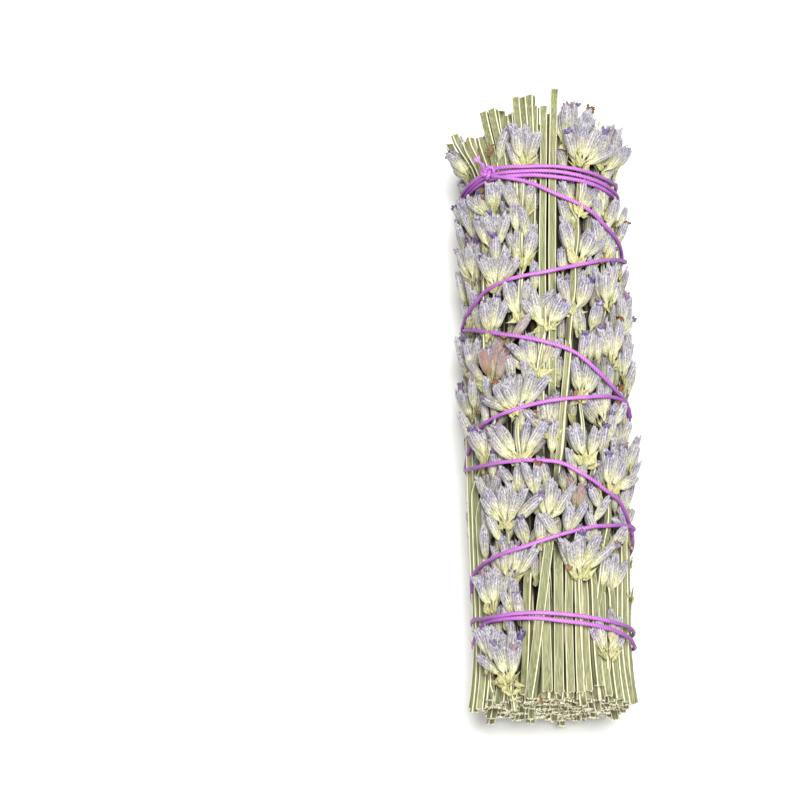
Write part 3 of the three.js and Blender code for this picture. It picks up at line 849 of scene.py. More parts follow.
# The two ties, the same way. The third value is how much higher a turn rides on the others.
TOP_TIE = [
    (-90, 52.6, -0.8), (-48, 54.0, -0.3), (-14, 53.2, 0), (9, 52.5, 0), (40, 51.9, 0), (63, 51.4, -0.2),
    (80, 51.5, -0.4), (90, 52.0, -0.5), (180, 52, -0.4), (270, 53.2, -0.1), (312, 54.9, 0.2),
    (346, 54.2, 0.1), (370, 53.8, 0.1), (400, 52.9, 0.2), (430, 52.2, 0.1), (450, 52.9, -0.2),
    (540, 53, -0.2), (630, 54.0, -0.5), (680, 56.0, 0.3), (706, 55.3, 0), (729, 55.1, 0), (754, 54.7, 0),
    (775, 54.8, -0.2), (800, 56.2, -0.4), (810, 57.0, -0.4), (900, 55, -0.3), (990, 53.8, 0.6),
    (1036, 55.4, 0.9),
]
BOTTOM_TIE = [
    (-130, -59, 0), (-90, -58.7, 0), (-63, -55.4, 0), (-23, -55.4, 0), (5, -56.4, 0), (29, -57.2, 0),
    (64, -58.8, 0), (90, -59.7, 0), (180, -56, 0), (270, -53.4, 0.2), (301, -54.2, 0.1), (337, -54.3, 0),
    (376, -55.3, 0), (403, -56.0, 0), (425, -56.1, 0), (450, -56.3, 0), (540, -56.5, 0), (600, -58, 0.6),
]
KNOT_Y = 55.3
KNOT_ANGLE = -42.5
# The knot in the cut end of the thread: a trefoil drawn tight, and the tail that stands off it.
KNOT = [
    (0.5 * (sin(t) + 2 * sin(2 * t)), 0.52 * (cos(t) - 2 * cos(2 * t)), 1.1 - 0.55 * sin(3 * t))
    for t in np.linspace(0.35, 2 * pi - 0.15, 18)
] + [(-0.8, 1.5, 1.6), (-0.9, 2.3, 1.9), (-1.3, 3.0, 2.3)]
# Where the tail's loose plies and fibres end, seen from its cut.
FRAY = [
    (-1.3, 1.5, 0.2), (-0.5, 1.9, 0.5), (0.3, 1.6, 0.1),
    (-1.9, 0.7, 0.4), (-1.0, 0.9, 0.9), (0.6, 0.8, 0.5),
]
THREAD_STEP = 0.4  # from one point of the thread to the next
THREAD_SEED = 3


def smooth_path(points, step):
    """A Catmull-Rom curve through points, with a point about every step along it."""
    points = np.asarray(points, float)
    ends = np.concatenate([[2 * points[0] - points[1]], points, [2 * points[-1] - points[-2]]])
    dense = []
    for i in range(len(points) - 1):
        a, b, c, d = ends[i : i + 4]
        t = np.linspace(0, 1, max(2, int(np.linalg.norm(c - b) / step) + 1), endpoint=False)[:, None]
        bent = (2 * a - 5 * b + 4 * c - d) * t**2
        dense.append(0.5 * ((2 * b) + (c - a) * t + bent + (3 * b - a - 3 * c + d) * t**3))
    return np.concatenate([*dense, points[-1:]])


def thread_runs(sizes):
    """The thread's runs on the sheet. Where the way up crosses the way down, it goes over it."""
    random = np.random.default_rng(THREAD_SEED)
    height, radius = sizes.height / MM, sizes.radius / MM
    ways = ([(around(angle), y, height) for angle, y in run] for run in (DOWN, UP))
    down, up = (smooth_path(way, THREAD_STEP) for way in ways)
    for run in (down, up):
        run[:, 2] += smooth_noise(random, len(run), 22, 0.14)
        run[:, 1] += smooth_noise(random, len(run), 30, 0.12)
    for point in up:
        beside = np.abs((down[:, 0] - point[0] + ROUND / 2) % ROUND - ROUND / 2)
        nearest = np.hypot(beside, down[:, 1] - point[1]).min()
        point[2] += 1.3 * radius * np.exp(-((nearest / 1.4) ** 2))

    def tie(route):
        turns = [(around(angle), y, height + raised) for angle, y, raised in route]
        tied = smooth_path(turns, THREAD_STEP)
        tied[:, 1] += smooth_noise(random, len(tied), 50, 0.1)
        tied[:, 2] += smooth_noise(random, len(tied), 30, 0.1)
        return tied

    middle = np.array([around(KNOT_ANGLE), KNOT_Y, height])
    knot = smooth_path([middle + np.array(place) for place in KNOT], 0.25)
    return [down, up, tie(TOP_TIE), tie(BOTTOM_TIE), knot]


def lay_thread(taken, runs, radius):
    for run in runs:
        sparse = run[:: int(4 / THREAD_STEP)]
        for start, end in zip(sparse[:-1], sparse[1:]):
            taken.lay(start, end, radius, Taken.THREAD)


def twisted_tube(piece, path, radius, lay, columns=15, tint=0.0):
    """A tube of three plies that twist once round each other in the length of the lay."""
    lengths = np.linalg.norm(np.diff(path, axis=0), axis=1)
    gone = np.concatenate([[0], np.cumsum(lengths)])
    even = np.arange(0, gone[-1], lay / 9)
    path = np.stack([np.interp(even, gone, path[:, axis]) for axis in range(3)], 1)
    forward = np.gradient(path, axis=0)
    forward /= np.linalg.norm(forward, axis=1)[:, None]
    side = np.empty_like(path)
    up = np.array([0.0, 0.0, 1.0]) if abs(forward[0, 2]) < 0.9 else np.array([1.0, 0.0, 0.0])
    for i, direction in enumerate(forward):
        up = up - direction * (up @ direction)
        up /= np.linalg.norm(up)
        side[i] = up
    other = np.cross(forward, side)
    turn = np.linspace(0, 2 * pi, columns, endpoint=False)
    ply = np.abs(np.cos(1.5 * (turn[None] - 2 * pi * even[:, None] / lay)))
    reach = radius * (0.8 + 0.22 * ply**0.8)
    ends = np.ones(len(path))
    ends[0] = ends[-1] = 0.05
    ends[1] = ends[-2] = 0.75
    reach *= ends[:, None]
    x, y = np.cos(turn)[None, :, None], np.sin(turn)[None, :, None]
    rings = path[:, None] + reach[..., None] * (x * side[:, None] + y * other[:, None])
    piece.add(rings, sheet_faces(len(path), columns), rib=ply, tint=tint)


def fray(piece, bunch, end, radius):
    """The loose plies and fibres at the thread's cut end."""
    for place in FRAY:
        tip = end + np.array(place)
        bent = (end + tip) / 2 + np.array([0, 0, 0.3])
        strand = bunch.in_space(smooth_path([end, bent, tip], 0.2))
        twisted_tube(piece, strand, 0.42 * radius, 1.5, columns=6, tint=1.0)


def painted_shade_of_thread(points):
    """Painted shade on the thread: none on top, growing to all of it down the sides."""
    return np.clip((34 - points[:, 2]) / 9, 0, 1)


# ---------------------------------------------------------------- flowers

# Sprigs on the side that shows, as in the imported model: the node's number, angle from the top in
# degrees and y of the lowest whorl, whorls, their pitch, the drift in degrees from whorl to whorl, the
# bare stalk below, and how withered it is.
SPRIGS = [
    (1, -21.5, 16.3, 4, 13.2, 1.8, 2.5, 0.0),
    (2, 17, 17.3, 4, 12.9, 4, 36, 0.0),
    (3, -42, 24.5, 3, 9.7, -1.5, 2.5, 0.1),
    (4, -70, 29, 3, 14, -3, 2.5, 0.1),
    (5, 18.5, 61, 1, 9, 0, 2.5, 0.0),
    (6, 49.5, 20.5, 4, 12, 0, 2.5, 0.0),
    (7, 73, 15.5, 4, 14.2, -1, 2.5, 0.0),
    (8, -10, 1.5, 2, 12.2, 7, 2.5, 0.0),
    (9, -47, 0.5, 2, 12.5, -2, 2.5, 0.0),
    (10, -74, -6, 3, 11.2, -2, 2.5, 0.0),
    (11, -56, -18, 1, 12, 0, 2.5, 0.0),
    (12, -25, -19, 2, 11.5, -2, 2.5, 0.0),
    (13, -1, -13.8, 1, 12, 0, 2.5, 0.0),
    (14, 23, -19.6, 2, 15.8, -2, 2.5, 0.0),
    (15, 42, -10.4, 2, 16.6, 12, 2.5, 0.1),
    (16, 76, -20, 3, 11.7, -1, 2.5, 0.0),
    (17, -36, -47, 2, 12.7, -2, 8, 0.0),
    (18, -6.5, -33.8, 1, 12, 0, 14, 0.1),
    (19, 17, -46.5, 1, 12, 0, 24, 0.0),
    (20, 39, -40.4, 2, 15, 7, 12, 0.0),
    (21, 41, -64, 1, 12, 0, 4, 0.5),
    (22, -60, -66, 2, 12.5, 6, 4, 0.1),
    (23, -38, -70, 1, 12, 0, 2.5, 0.1),
    (24, 81, -49, 2, 12.5, 0, 6, 0.0),
]
# Where the outside shows bare stalks: from and to in degrees, and from and to along y.
BARE = [
    (-24, 30, -75, -50),
    (28, 75, -75, -66),
    (-108, -66, -75, -12),
    (52, 92, -75, -34),
    (26, 60, -75, -50),
    (-80, -9, 64, 80),
]
# Where no calyx may reach, so that it doesn't hide the stalks that fan out left of the knot, nor stand
# out above the rest: from and to in degrees, and from where along y.
CLEAR = [(-77, -30, 56.5), (-120, -77, 68.5), (8, 360, 71.5)]
# Where flowers withered first: angle, y, and how far round it they are brown.
WITHERED = [(-42, 6, 6.5), (-88, 13, 3), (21, -30, 3)]
# Rust-brown scraps of fallen corollas that caught between the flowers, as angle and y.
SCRAPS = [
    (-41.5, 61.5), (-43, 60), (-49, 51), (-50, 49.5), (-54, 42), (-55, 40), (-50, 28.5), (78, 28),
    (18, -3.5), (61, 11), (27, -26.5), (9.5, -44), (-52, -67), (-18, 60), (34, 60), (-30, 12), (-60, -4),
    (45, 33), (-12, -8), (66, -12), (120, 10), (150, -20), (-150, 30), (-120, -30), (170, 40),
    (100, -40), (-170, 0),
]
# Loose yellow-green bracts at both ends, as angle and y.
LEAFY = [(-42, -72), (-34, -73), (-48, -70), (31, 70), (37, 69), (44, 67), (52, 64), (-30, -71)]
# Both kinds: their places, how many lie at each, how far astray round the bunch and along it, the
# lowest and what is added at most, the splay in degrees, and then length, age and least width.
SCATTERED = [
    (SCRAPS, 3, 0.6, 0.6, 2.6, 0.7, 60, 2.3, 1.0, 0.3),
    (LEAFY, 4, 0.7, 0.5, 1.2, 1.2, 50, 3.4, 0.0, 0.15),
]
# Sprigs whose own stalk shows between their whorls, over the calyces of the whorl below.
SHOWN_STEMS = (1, 2, 7, 8, 10, 12, 14, 16, 20, 26, 28, 30, 32, 34, 36, 38, 40, 42)
NEARER_THE_TIPS = 0.8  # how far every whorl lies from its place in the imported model

Sprig = namedtuple("Sprig", "number angle foot whorls pitch drift tail age lift")


def all_sprigs():
    """The sprigs that show, and six columns of three round the sides and underneath."""
    sprigs = [Sprig(*row, lift=14) for row in SPRIGS]
    for column in range(6):
        drift = 1 if column % 3 else -1
        lift = 26 if column in (2, 3) else 12
        for foot in (-66, -24, 19):
            place = (len(sprigs) + 1, 101 + column * 31.4, foot + (column % 2) * 6)
            sprigs.append(Sprig(*place, whorls=3, pitch=12.6, drift=drift, tail=2.5, age=0.0, lift=lift))
    return sprigs


def whorl_place(sprig, whorl, height=1.0):
    """The place of one of a sprig's whorls on the sheet."""
    angle = sprig.angle + sprig.drift * whorl
    angle = angle - 360 if angle > 180 else angle
    return np.array([around(angle), NEARER_THE_TIPS + sprig.foot + sprig.pitch * whorl, height])


def lay_stems(taken, sprigs):
    """The stretches of the sprigs' own stalks that show. No calyx lies on them."""
    for sprig in sprigs:
        if sprig.number in SHOWN_STEMS:
            for whorl in range(sprig.whorls - 1):
                start = whorl_place(sprig, whorl, 2.0) + np.array([0, 2.5, 0])
                taken.lay(start, whorl_place(sprig, whorl + 1, 2.0), 0.42, Taken.STALK)


def stalk_under_sprig(piece, random, sprig):
    """A sprig's own stalk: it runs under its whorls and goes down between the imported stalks."""
    first, last = whorl_place(sprig, 0), whorl_place(sprig, sprig.whorls - 1)
    slope = (last[0] - first[0]) / (last[1] - first[1]) if sprig.whorls > 1 else 0.0
    low, high = first[1] - sprig.tail - 4, last[1] + 1.5
    steps = max(4, int((high - low) / 1.6))
    y = np.linspace(low, high, steps)
    s = first[0] + slope * (y - first[1]) + smooth_noise(random, steps, 5, 0.1)
    h = 1.05 + 0.25 * eased(y, first[1] - 3, first[1]) - 2.2 * eased(y, low + 5, low)
    if sprig.number in SHOWN_STEMS:
        h = h + 0.75 * np.sin(pi * np.clip((y - first[1]) / sprig.pitch, 0, sprig.whorls - 1)) ** 2
    width = 1.05 if sprig.tail < 10 else 1.6
    taper = 1 - 0.35 * eased(y, first[1], high)
    roll = 45 * round(random.random()) + smooth_noise(random, steps, 9, 6)
    tint = 0.45 + 0.4 * random.random()
    stalk_part(piece, random, np.stack([s, y, h], 1), width * taper, 0.36, roll, tint, 0.5, STALK, detail=5)


# The materials of a flower piece, in their order.
FELT, PETAL, BRACT, STALK = range(4)
# The rings of a calyx, along it and in girth.
CALYX_ALONG = np.array([0, 0.07, 0.14, 0.2, 0.26, 0.34, 0.44, 0.56, 0.68, 0.8, 0.92, 1.0])
CALYX_GIRTH = np.array([0.2, 0.15, 0.16, 0.23, 0.46, 0.73, 0.9, 0.99, 1.03, 1.0, 0.93, 0.84])
# The rings down its hollow: along it and in girth, and then how they are marked, along and with the painted
# shade inside the mouth.
CALYX_HOLLOW = np.array([(0.95, 0.5, 0.9, 0.1), (0.8, 0.36, 0.7, 0.35), (0.6, 0.08, 0.5, 0.55)])
CALYX_RIBS = 11
CALYX_COLUMNS = 33


def axes_of(direction):
    """A calyx's own directions: sideways, along it, and outwards."""
    along = direction / np.linalg.norm(direction)
    side = np.array([along[1], -along[0], 0.0])
    side /= max(np.linalg.norm(side), 1e-6)
    return side, along, np.cross(side, along)


def laid_along(axes, start, across, forward, height):
    """The points of a part that starts here, measured along its own directions."""
    side, along, out = axes
    return start + across[..., None] * side + forward[..., None] * along + height[..., None] * out


def calyx_part(piece, random, start, direction, long, radius, tint, age, petal, curl):
    """One calyx: a ribbed, slightly squashed tube on a thin curled foot, open at a toothed mouth."""
    axes = axes_of(direction)
    t = CALYX_ALONG[:, None]
    turn = np.linspace(0, 2 * pi, CALYX_COLUMNS, endpoint=False)[None] + random.random()
    crest = 0.5 + 0.5 * np.cos(CALYX_RIBS * (turn - turn[0, 0]))
    crest *= 0.55 + 0.45 * random.random((1, CALYX_RIBS)).repeat(CALYX_COLUMNS // CALYX_RIBS, 1)
    body = np.clip((t - 0.2) / 0.15, 0, 1)
    reach = radius * CALYX_GIRTH[:, None] * (1 + (0.17 * crest - 0.09) * body)
    dented = 0.07 * np.sin(2 * turn + random.random() * 6) * body
    reach = reach * (1 + dented + 0.012 * random.normal(size=reach.shape) * body)
    tooth = 0.5 + 0.5 * np.cos(4 * (turn - random.random()) + 0.5)
    from_lobe = turn - turn[0, 0] - pi * (0.3 + 1.2 * random.random())
    lobe = np.exp(-(((from_lobe + pi) % (2 * pi) - pi) ** 2) / 0.5)
    mouth = np.clip((t - 0.86) / 0.14, 0, 1)
    frayed = 0.03 * random.normal(size=turn.shape)
    forward = long * (t + mouth * (0.045 * tooth + 0.11 * lobe + frayed))
    reach = reach * (1 - 0.14 * mouth - 0.2 * mouth * tooth + 0.08 * mouth * lobe)
    squash = 0.82 + 0.14 * random.random()
    bend = 0.55 * random.normal()
    sag = 0.35 * random.normal()
    across = reach * np.cos(turn) * 1.06 + bend * t**2 + curl * np.clip(1 - t / 0.34, 0, 1) ** 1.6
    height = reach * np.sin(turn) * squash + sag * t**2
    inner, narrow, inner_along, inner_painted_shade = CALYX_HOLLOW.T[..., None]
    across = np.concatenate([across, radius * narrow * np.cos(turn) + bend * inner**2])
    height = np.concatenate([height, radius * narrow * np.sin(turn) * squash + sag * inner**2])
    forward = np.concatenate([forward, long * inner + 0 * turn])
    points = laid_along(axes, start, across, forward, height)
    along = np.concatenate([t, inner_along]) + 0 * turn
    # Painted shade down the hollow of the mouth, none on the outside.
    deep = np.concatenate([0 * t, inner_painted_shade]) + 0 * turn
    rib = np.concatenate([crest * body + 0.6 * (1 - body), 0 * inner + 0 * turn])
    faces = sheet_faces(len(points), CALYX_COLUMNS)
    piece.add(points, faces, FELT, along=along, rib=rib, tint=tint, age=age, deep=deep)
    if petal:
        side, forwards, out = axes
        mouth_at = start + forwards * long * 0.9 + side * bend * 0.85 + out * sag * 0.85
        petal_part(piece, random, mouth_at, axes, radius, petal, max(age, float(tint > 0.9)))


def petal_part(piece, random, start, axes, radius, size, age):
    """A shrivelled corolla in a calyx's mouth: a short tube that ends in crumpled lobes."""
    columns, rows = 15, 7
    t = np.linspace(0, 1, rows)[:, None]
    turn = np.linspace(0, 2 * pi, columns, endpoint=False)[None]
    lobes = 0.5 + 0.5 * np.cos(5 * turn + random.random() * 6)
    open_wide = np.clip((t - 0.35) / 0.65, 0, 1)
    reach = radius * (0.66 + 0.06 * t + open_wide * (0.34 * lobes - 0.16))
    reach = reach * (1 + 0.2 * random.normal(size=(rows, columns)) * (0.25 + open_wide))
    crumpled = 0.08 * random.normal(size=(rows, columns)) * open_wide
    forward = size * (t * (0.85 + 0.4 * lobes * open_wide) + crumpled)
    lean = 0.5 * random.normal(size=2) * size * 0.4
    across = reach * np.cos(turn) + lean[0] * t**2
    height = reach * np.sin(turn) * 0.9 + lean[1] * t**2
    narrow, back = np.array([(0.55, 0.8), (0.12, 0.65)]).T[..., None]  # two rings that close its end
    across = np.concatenate([across, across[-1:] * narrow])
    height = np.concatenate([height, height[-1:] * narrow])
    forward = np.concatenate([forward, forward[-1:] * back])
    points = laid_along(axes, start, across, forward, height)
    shade = np.repeat([*t[:, 0], 0.6, 0.2], columns)
    piece.add(points, sheet_faces(rows + 2, columns), PETAL, along=shade, tint=random.random(), age=age)


def bract_part(piece, random, start, direction, long, wide, tint, age):
    """A bract: a small pointed leaf, cupped along its middle vein."""
    rows, columns, cup = 8, 7, 0.35
    t = np.linspace(0, 1, rows)[:, None]
    u = np.linspace(-1, 1, columns)[None]
    half = wide / 2 * (np.sin(pi * t**0.55) * 0.95 + 0.16 * (1 - t)) * (1 - 0.75 * t**2)
    across = u * half * (1 + 0.12 * random.normal(size=(rows, columns)) * np.abs(u))
    wrinkled = 0.08 * random.normal(size=(rows, columns)) * wide / 2
    height = cup * (np.abs(u) ** 1.6) * half - 0.25 * cup * wide * t + wrinkled
    height = height + 0.35 * random.normal() * t**2
    points = laid_along(axes_of(direction), start, across, t * long + 0 * u, height)
    vein = np.maximum(np.exp(-((u / 0.16) ** 2)), 0.8 * np.exp(-(((np.abs(u) - 0.55) / 0.13) ** 2)))
    faces = sheet_faces(rows, columns, closed=False)
    piece.add(points, faces, BRACT, along=t + 0 * u, rib=vein + 0 * t, tint=tint, age=age)


def bract_at(piece, random, start, splay, long, age, wide=0.15):
    """A bract somewhere about the foot of a whorl, some of them withered."""
    aside, up = radians(splay + 12 * random.normal()), radians(10 + 9 * random.normal())
    direction = np.array([sin(aside) * cos(up), cos(aside) * cos(up), sin(up)])
    long = long * (0.55 + 0.6 * random.random())
    if random.random() > 0.97:
        age, long, wide = 1.0, 0.6 * long, 0.15
    wide = long * (wide + 0.22 * random.random())
    bract_part(piece, random, start, direction, long, wide, random.random(), age)


def withered(place):
    """How withered the flowers at a place on the sheet are."""
    brown = []
    for angle, y, reach in WITHERED:
        away = np.hypot(place[0] - around(angle), place[1] - y)
        brown.append(float(np.clip(1.5 - away / reach, 0, 1)))
    return max(brown)


# What a calyx tries, the first before the others: shares of its splay, of its lift and of its length.
TRIES = [
    part.ravel()
    for part in np.meshgrid(
        [1, 0.85, 0.7, 0.5, 0.3, 1.15], [1, 0.7, 1.3, 0.4, 0.1, -0.3, 1.7], [1, 0.93, 0.85], indexing="ij"
    )
]
# Where a calyx is measured, along it, and the share of its radius that it has there.
MEASURED_ALONG = np.array([0.33, 0.45, 0.6, 0.75, 0.9, 1.02])
MEASURED_GIRTH = np.array([0.7, 0.95, 1, 1, 0.95, 0.85])


def settle(taken, start, splay, lift, long, radius, group, limit, highest, over_thread):
    """The try of a calyx that has most room, with the first ones preferred. None if all are too tight."""
    closing, flatter, shorter = TRIES
    aside, up = np.radians(splay * closing), np.radians(lift * flatter)
    direction = np.stack([np.sin(aside) * np.cos(up), np.cos(aside) * np.cos(up), np.sin(up)], 1)
    radii = radius * MEASURED_GIRTH
    reach = (long * shorter)[:, None, None] * MEASURED_ALONG[None, :, None]
    points = start + direction[:, None] * reach
    near = taken.near(start + np.array([0, long * 0.6, 0]), long * 0.8)
    room = taken.gaps(points, radii, near, group, over_thread)
    above_stalks = (points[:, :, 2] - radii).min(1) + 0.5
    below_roof = highest - (points[:, :, 2] + radii).max(1)
    room = np.minimum(np.minimum(room, above_stalks), below_roof)
    worth = np.minimum(room, 0.05) * 3 - 0.12 * np.abs(closing - 1)
    worth = worth - 0.12 * np.abs(flatter - 1) - 0.3 * (1 - shorter)
    best = int(np.argmax(worth))
    if room[best] < -limit:
        return None
    return direction[best], long * shorter[best]


def roof(random, angle, y):
    """The highest that a calyx may reach here. At the flower tips they stand up most."""
    height = 4.6 + 1.3 * random.random()
    if y < -12 and (angle < -72 or angle > 84):
        return 3.4  # beside the bare stalks of the lower edges
    return height + (2.0 if y > 50 else 0.6 if abs(angle) > 55 else 0)


def in_clear(tip):
    """Whether a calyx with its tip here reaches where none may."""
    angle = degrees(tip[0] / UNROLL_RADIUS)
    return any(low < angle < high and tip[1] > from_y for low, high, from_y in CLEAR)


def in_bare(s, y):
    angle = angle_at(s)
    return any(low < angle < high and from_y < y < to_y for low, high, from_y, to_y in BARE)


def bareness(points):
    """1 where the outside shows bare stalks, 0 where flowers cover it, and eased between."""
    s, y, _ = points.T
    angle = angle_at(s)
    bare = np.maximum(eased(y, -67, -70), eased(y, 60, 64))
    for low, high, from_y, to_y in BARE:
        round_it = eased(angle, low - 3, low + 3) * eased(angle, high + 3, high - 3)
        bare = np.maximum(bare, round_it * eased(y, from_y - 2, from_y + 2) * eased(y, to_y + 2, to_y - 2))
    return bare


def painted_shade_of_stalks(points):
    """Painted shade: between bare stalks it is dark below their tops, and under the flowers all of them are
    shaded.
    """
    level = 0.95 - 1.3 * bareness(points)
    at_ends = eased(points[:, 1], -73.6, -72.4) * eased(points[:, 1], 63, 58)
    return np.clip((level - points[:, 2]) / 0.8, 0, 1) * at_ends


def painted_shade_of_core(points):
    """Painted shade: inside the bunch it is dark but for its two ends."""
    y = points[:, 1]
    return eased(y, -73.8, -72.2) * eased(y, 63, 57)


# Painted shade on flowers that lie low, near the stalks, but none where bare stalks show.
def painted_shade_of_flowers(points):
    return np.clip((2.1 - points[:, 2]) / 1.5, 0, 1) * (1 - bareness(points))


# Painted shade on the flowers inside the tip end, fading out towards the tip.
def painted_shade_of_end_flowers(points):
    return 0.85 * eased(points[:, 1], 64, 58)


# The two rounds in which each whorl gets its calyces: how many, the height of their feet, how far they
# spread in degrees, the share of the sprig's lift, and how far one may press into its neighbours.
WHORL_ROUNDS = [(5, 1.1, 38, 0.75, 0.45), (4, 2.2, 24, 1.5, 0.35)]
# The rounds in which the gaps between the sprigs are filled: the height of the feet, how far from
# everything a gap has to be, how far a calyx may press in, and how each one splays.
GAP_ROUNDS = [
    (0.95, 0.75, 0.3, (0, -24, 24)),
    (1.0, 0.45, 0.4, (0, -24)),
    (1.3, 0.25, 0.45, (0, -24)),
]


class Flowers:
    """Lays every sprig as a piece of its own, and one more of the odd calyces between them, all from
    one run of random numbers."""

    def __init__(self, scene, runs):
        self.sizes = scene.lavender_flowers
        self.random = np.random.default_rng(self.sizes.seed)
        self.sprigs = all_sprigs()
        self.pieces = {sprig.number: Piece() for sprig in self.sprigs}
        self.loose = Piece()
        self.taken = Taken()
        lay_thread(self.taken, runs, scene.lavender_thread.radius / MM)
        lay_stalks(self.taken)
        lay_stems(self.taken, self.sprigs)
        for whorl_round in WHORL_ROUNDS:
            self.lay_whorls(*whorl_round)
        for sprig in self.sprigs:
            stalk_under_sprig(self.pieces[sprig.number], self.random, sprig)
            for whorl in range(sprig.whorls):
                self.lay_bracts(sprig, whorl)
        self.scatter()
        # The whorls in the gaps are numbered downwards from the last sprig's.
        self.group = 10 * self.sprigs[-1].number + self.sprigs[-1].whorls - 1
        for gap_round in GAP_ROUNDS:
            self.fill_gaps(*gap_round)

    def calyx(self, piece, start, splay, lift, group, limit, age, small=1.0, curl=0.0):
        """Lays a calyx where it has room, and tells whether it found any."""
        random, sizes = self.random, self.sizes
        long = sizes.calyx / MM * small * (0.86 + 0.26 * random.random())
        radius = sizes.calyx_width / MM / 2 * small * (0.86 + 0.24 * random.random())
        petal_roll, tint, wither = random.random(), random.random(), random.random()
        angle = degrees(start[0]) / UNROLL_RADIUS
        highest = roof(random, angle, start[1])
        over_thread = random.random() < 0.12 and abs(angle) > 80
        found = settle(self.taken, start, splay, lift, long, radius, group, limit, highest, over_thread)
        if found is None:
            return False
        direction, long = found
        if in_clear(start + direction * long):
            return False
        petal = long * (0.1 + 0.2 * random.random() ** 1.5) if petal_roll < sizes.petals else 0
        age = max(withered(start) * (0.35 + 0.9 * wither), 0.6 if wither > 0.985 else age * wither)
        calyx_part(piece, random, start, direction, long, radius, tint, age, petal, curl)
        foot, tip = start + direction * long * 0.3, start + direction * long * 0.98
        self.taken.lay(foot, tip, radius * 0.95, group)
        return True

    def lay_whorls(self, count, height, spread, lift_share, limit):
        random = self.random
        places = np.linspace(-1, 1, count)
        from_the_middle = np.argsort(np.abs(places + 0.01))
        for sprig in self.sprigs:
            for whorl in range(sprig.whorls):
                middle = whorl_place(sprig, whorl, height)
                spread_here = spread * (0.75 + 0.5 * random.random())
                for i in from_the_middle:
                    at = places[i] + 0.12 * random.normal()
                    start = middle + np.array([1.1 * at, 0.9 * (1 - abs(at)) + 0.5 * random.normal(), 0])
                    lift = sprig.lift * lift_share + 7 * random.normal() + (12 if middle[1] > 50 else 0)
                    splay = spread_here * at + 6 * random.normal()
                    group = sprig.number * 10 + whorl
                    piece = self.pieces[sprig.number]
                    self.calyx(piece, start, splay, lift, group, limit, sprig.age, curl=-0.9 * at)

    def lay_bracts(self, sprig, whorl):
        """Six narrow bracts under a whorl, and a broad one to each side, some of which hang."""
        random, long = self.random, self.sizes.bract / MM
        piece = self.pieces[sprig.number]
        middle = whorl_place(sprig, whorl, 1.5)
        age = max(withered(middle), 0.3 * sprig.age)
        for at in np.linspace(-1, 1, 6):
            start = middle + np.array([0.8 * at, 0.5 * random.normal() - 0.9, 0.3 + 0.7 * (1 - abs(at))])
            bract_at(piece, random, start, 44 * at, long, age * random.random())
        for at in (-1, 1):
            hangs = random.random() < 0.3
            start = middle + np.array([0.5 * at, -0.6, 0.3 if hangs else 1.0])
            splay = at * (115 + 20 * random.normal() if hangs else 32)
            shorter = 0.7 if hangs else 0.95
            bract_at(piece, random, start, splay, shorter * long, age * random.random(), 0.42)

    def scatter(self):
        """Scraps and bracts that came loose, and the chaff between the cut ends."""
        random = self.random
        for places, count, astray, astray_along, low, rise, splay, long, age, wide in SCATTERED:
            for angle, y in np.repeat(places, count, 0):
                s, y = around(angle) + astray * random.normal(), y + astray_along * random.normal()
                start = np.array([s, y, low + rise * random.random()])
                bract_at(self.loose, random, start, splay * random.normal(), long, age, wide)
        for _ in range(90):
            angle, depth = 75 * random.normal(), 15 * random.random()
            start = np.array([around(angle), -71.6 - random.random(), -depth])
            direction = np.array([0.6 * random.normal(), -1.0, 0.4 * random.normal()])
            long, tint, age = 1.6 + 1.8 * random.random(), random.random(), float(random.random() > 0.85)
            bract_part(self.loose, random, start, direction, long, 0.9, tint, age)

    def fill_gaps(self, height, far, limit, splays):
        """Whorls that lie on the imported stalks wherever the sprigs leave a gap."""
        random = self.random
        for y in np.arange(-66, 66, 2.4):
            for s in np.arange(-ROUND / 2, ROUND / 2, 2.0):
                start = np.array([s + 0.8 * random.normal(), y + 1.0 * random.normal(), height])
                middle = start + np.array([0, 4.2, 0])
                if in_bare(middle[0], middle[1]) or in_bare(start[0], start[1] + 1):
                    continue
                covered = self.taken.near(middle, 1.5)
                if len(covered[0]) and cover(middle, covered) < far:
                    continue
                turned = 12 * random.normal()
                self.group -= 10
                placed = 0
                for splay in splays:
                    age = 0.15 if random.random() > 0.9 else 0
                    lift = 8 + 7 * random.normal()
                    splay += turned
                    placed += self.calyx(self.loose, start, splay, lift, self.group, limit, age, 0.95)
                if placed:
                    for _ in range(2):
                        bract_at(self.loose, random, start, turned, self.sizes.bract / MM, 0)


def end_flowers(sizes, bunch):
    """The whorls that fill the tip end, as seen from its end."""
    random = np.random.default_rng(sizes.seed + 1)
    piece = Piece()
    for x, z in core_places(random, bunch, 1.2, 3.5):
        if not in_flower_end(x - 1.2, z + 1.2):
            continue
        foot = 58.5 + 3 * random.random()
        for turn in np.arange(5) * 2 * pi / 5 + random.random():
            out = np.array([sin(turn), 0, cos(turn)])
            start = np.array([x, foot + 0.6 * random.normal(), z]) + 0.8 * out
            direction = out * (0.2 + 0.12 * random.random()) + np.array([0, 1, 0])
            long = sizes.calyx / MM * (0.85 + 0.2 * random.random())
            petal = long * 0.2 if random.random() < sizes.petals else 0
            radius = sizes.calyx_width / MM / 2 * (0.88 + 0.2 * random.random())
            calyx_part(piece, random, start, direction, long, radius, random.random(), 0.0, petal, 0.0)
            bract_part(piece, random, start, direction + 0.3 * out, 3.6, 1.2, random.random(), 0.0)
    return piece


# ---------------------------------------------------------------- operators


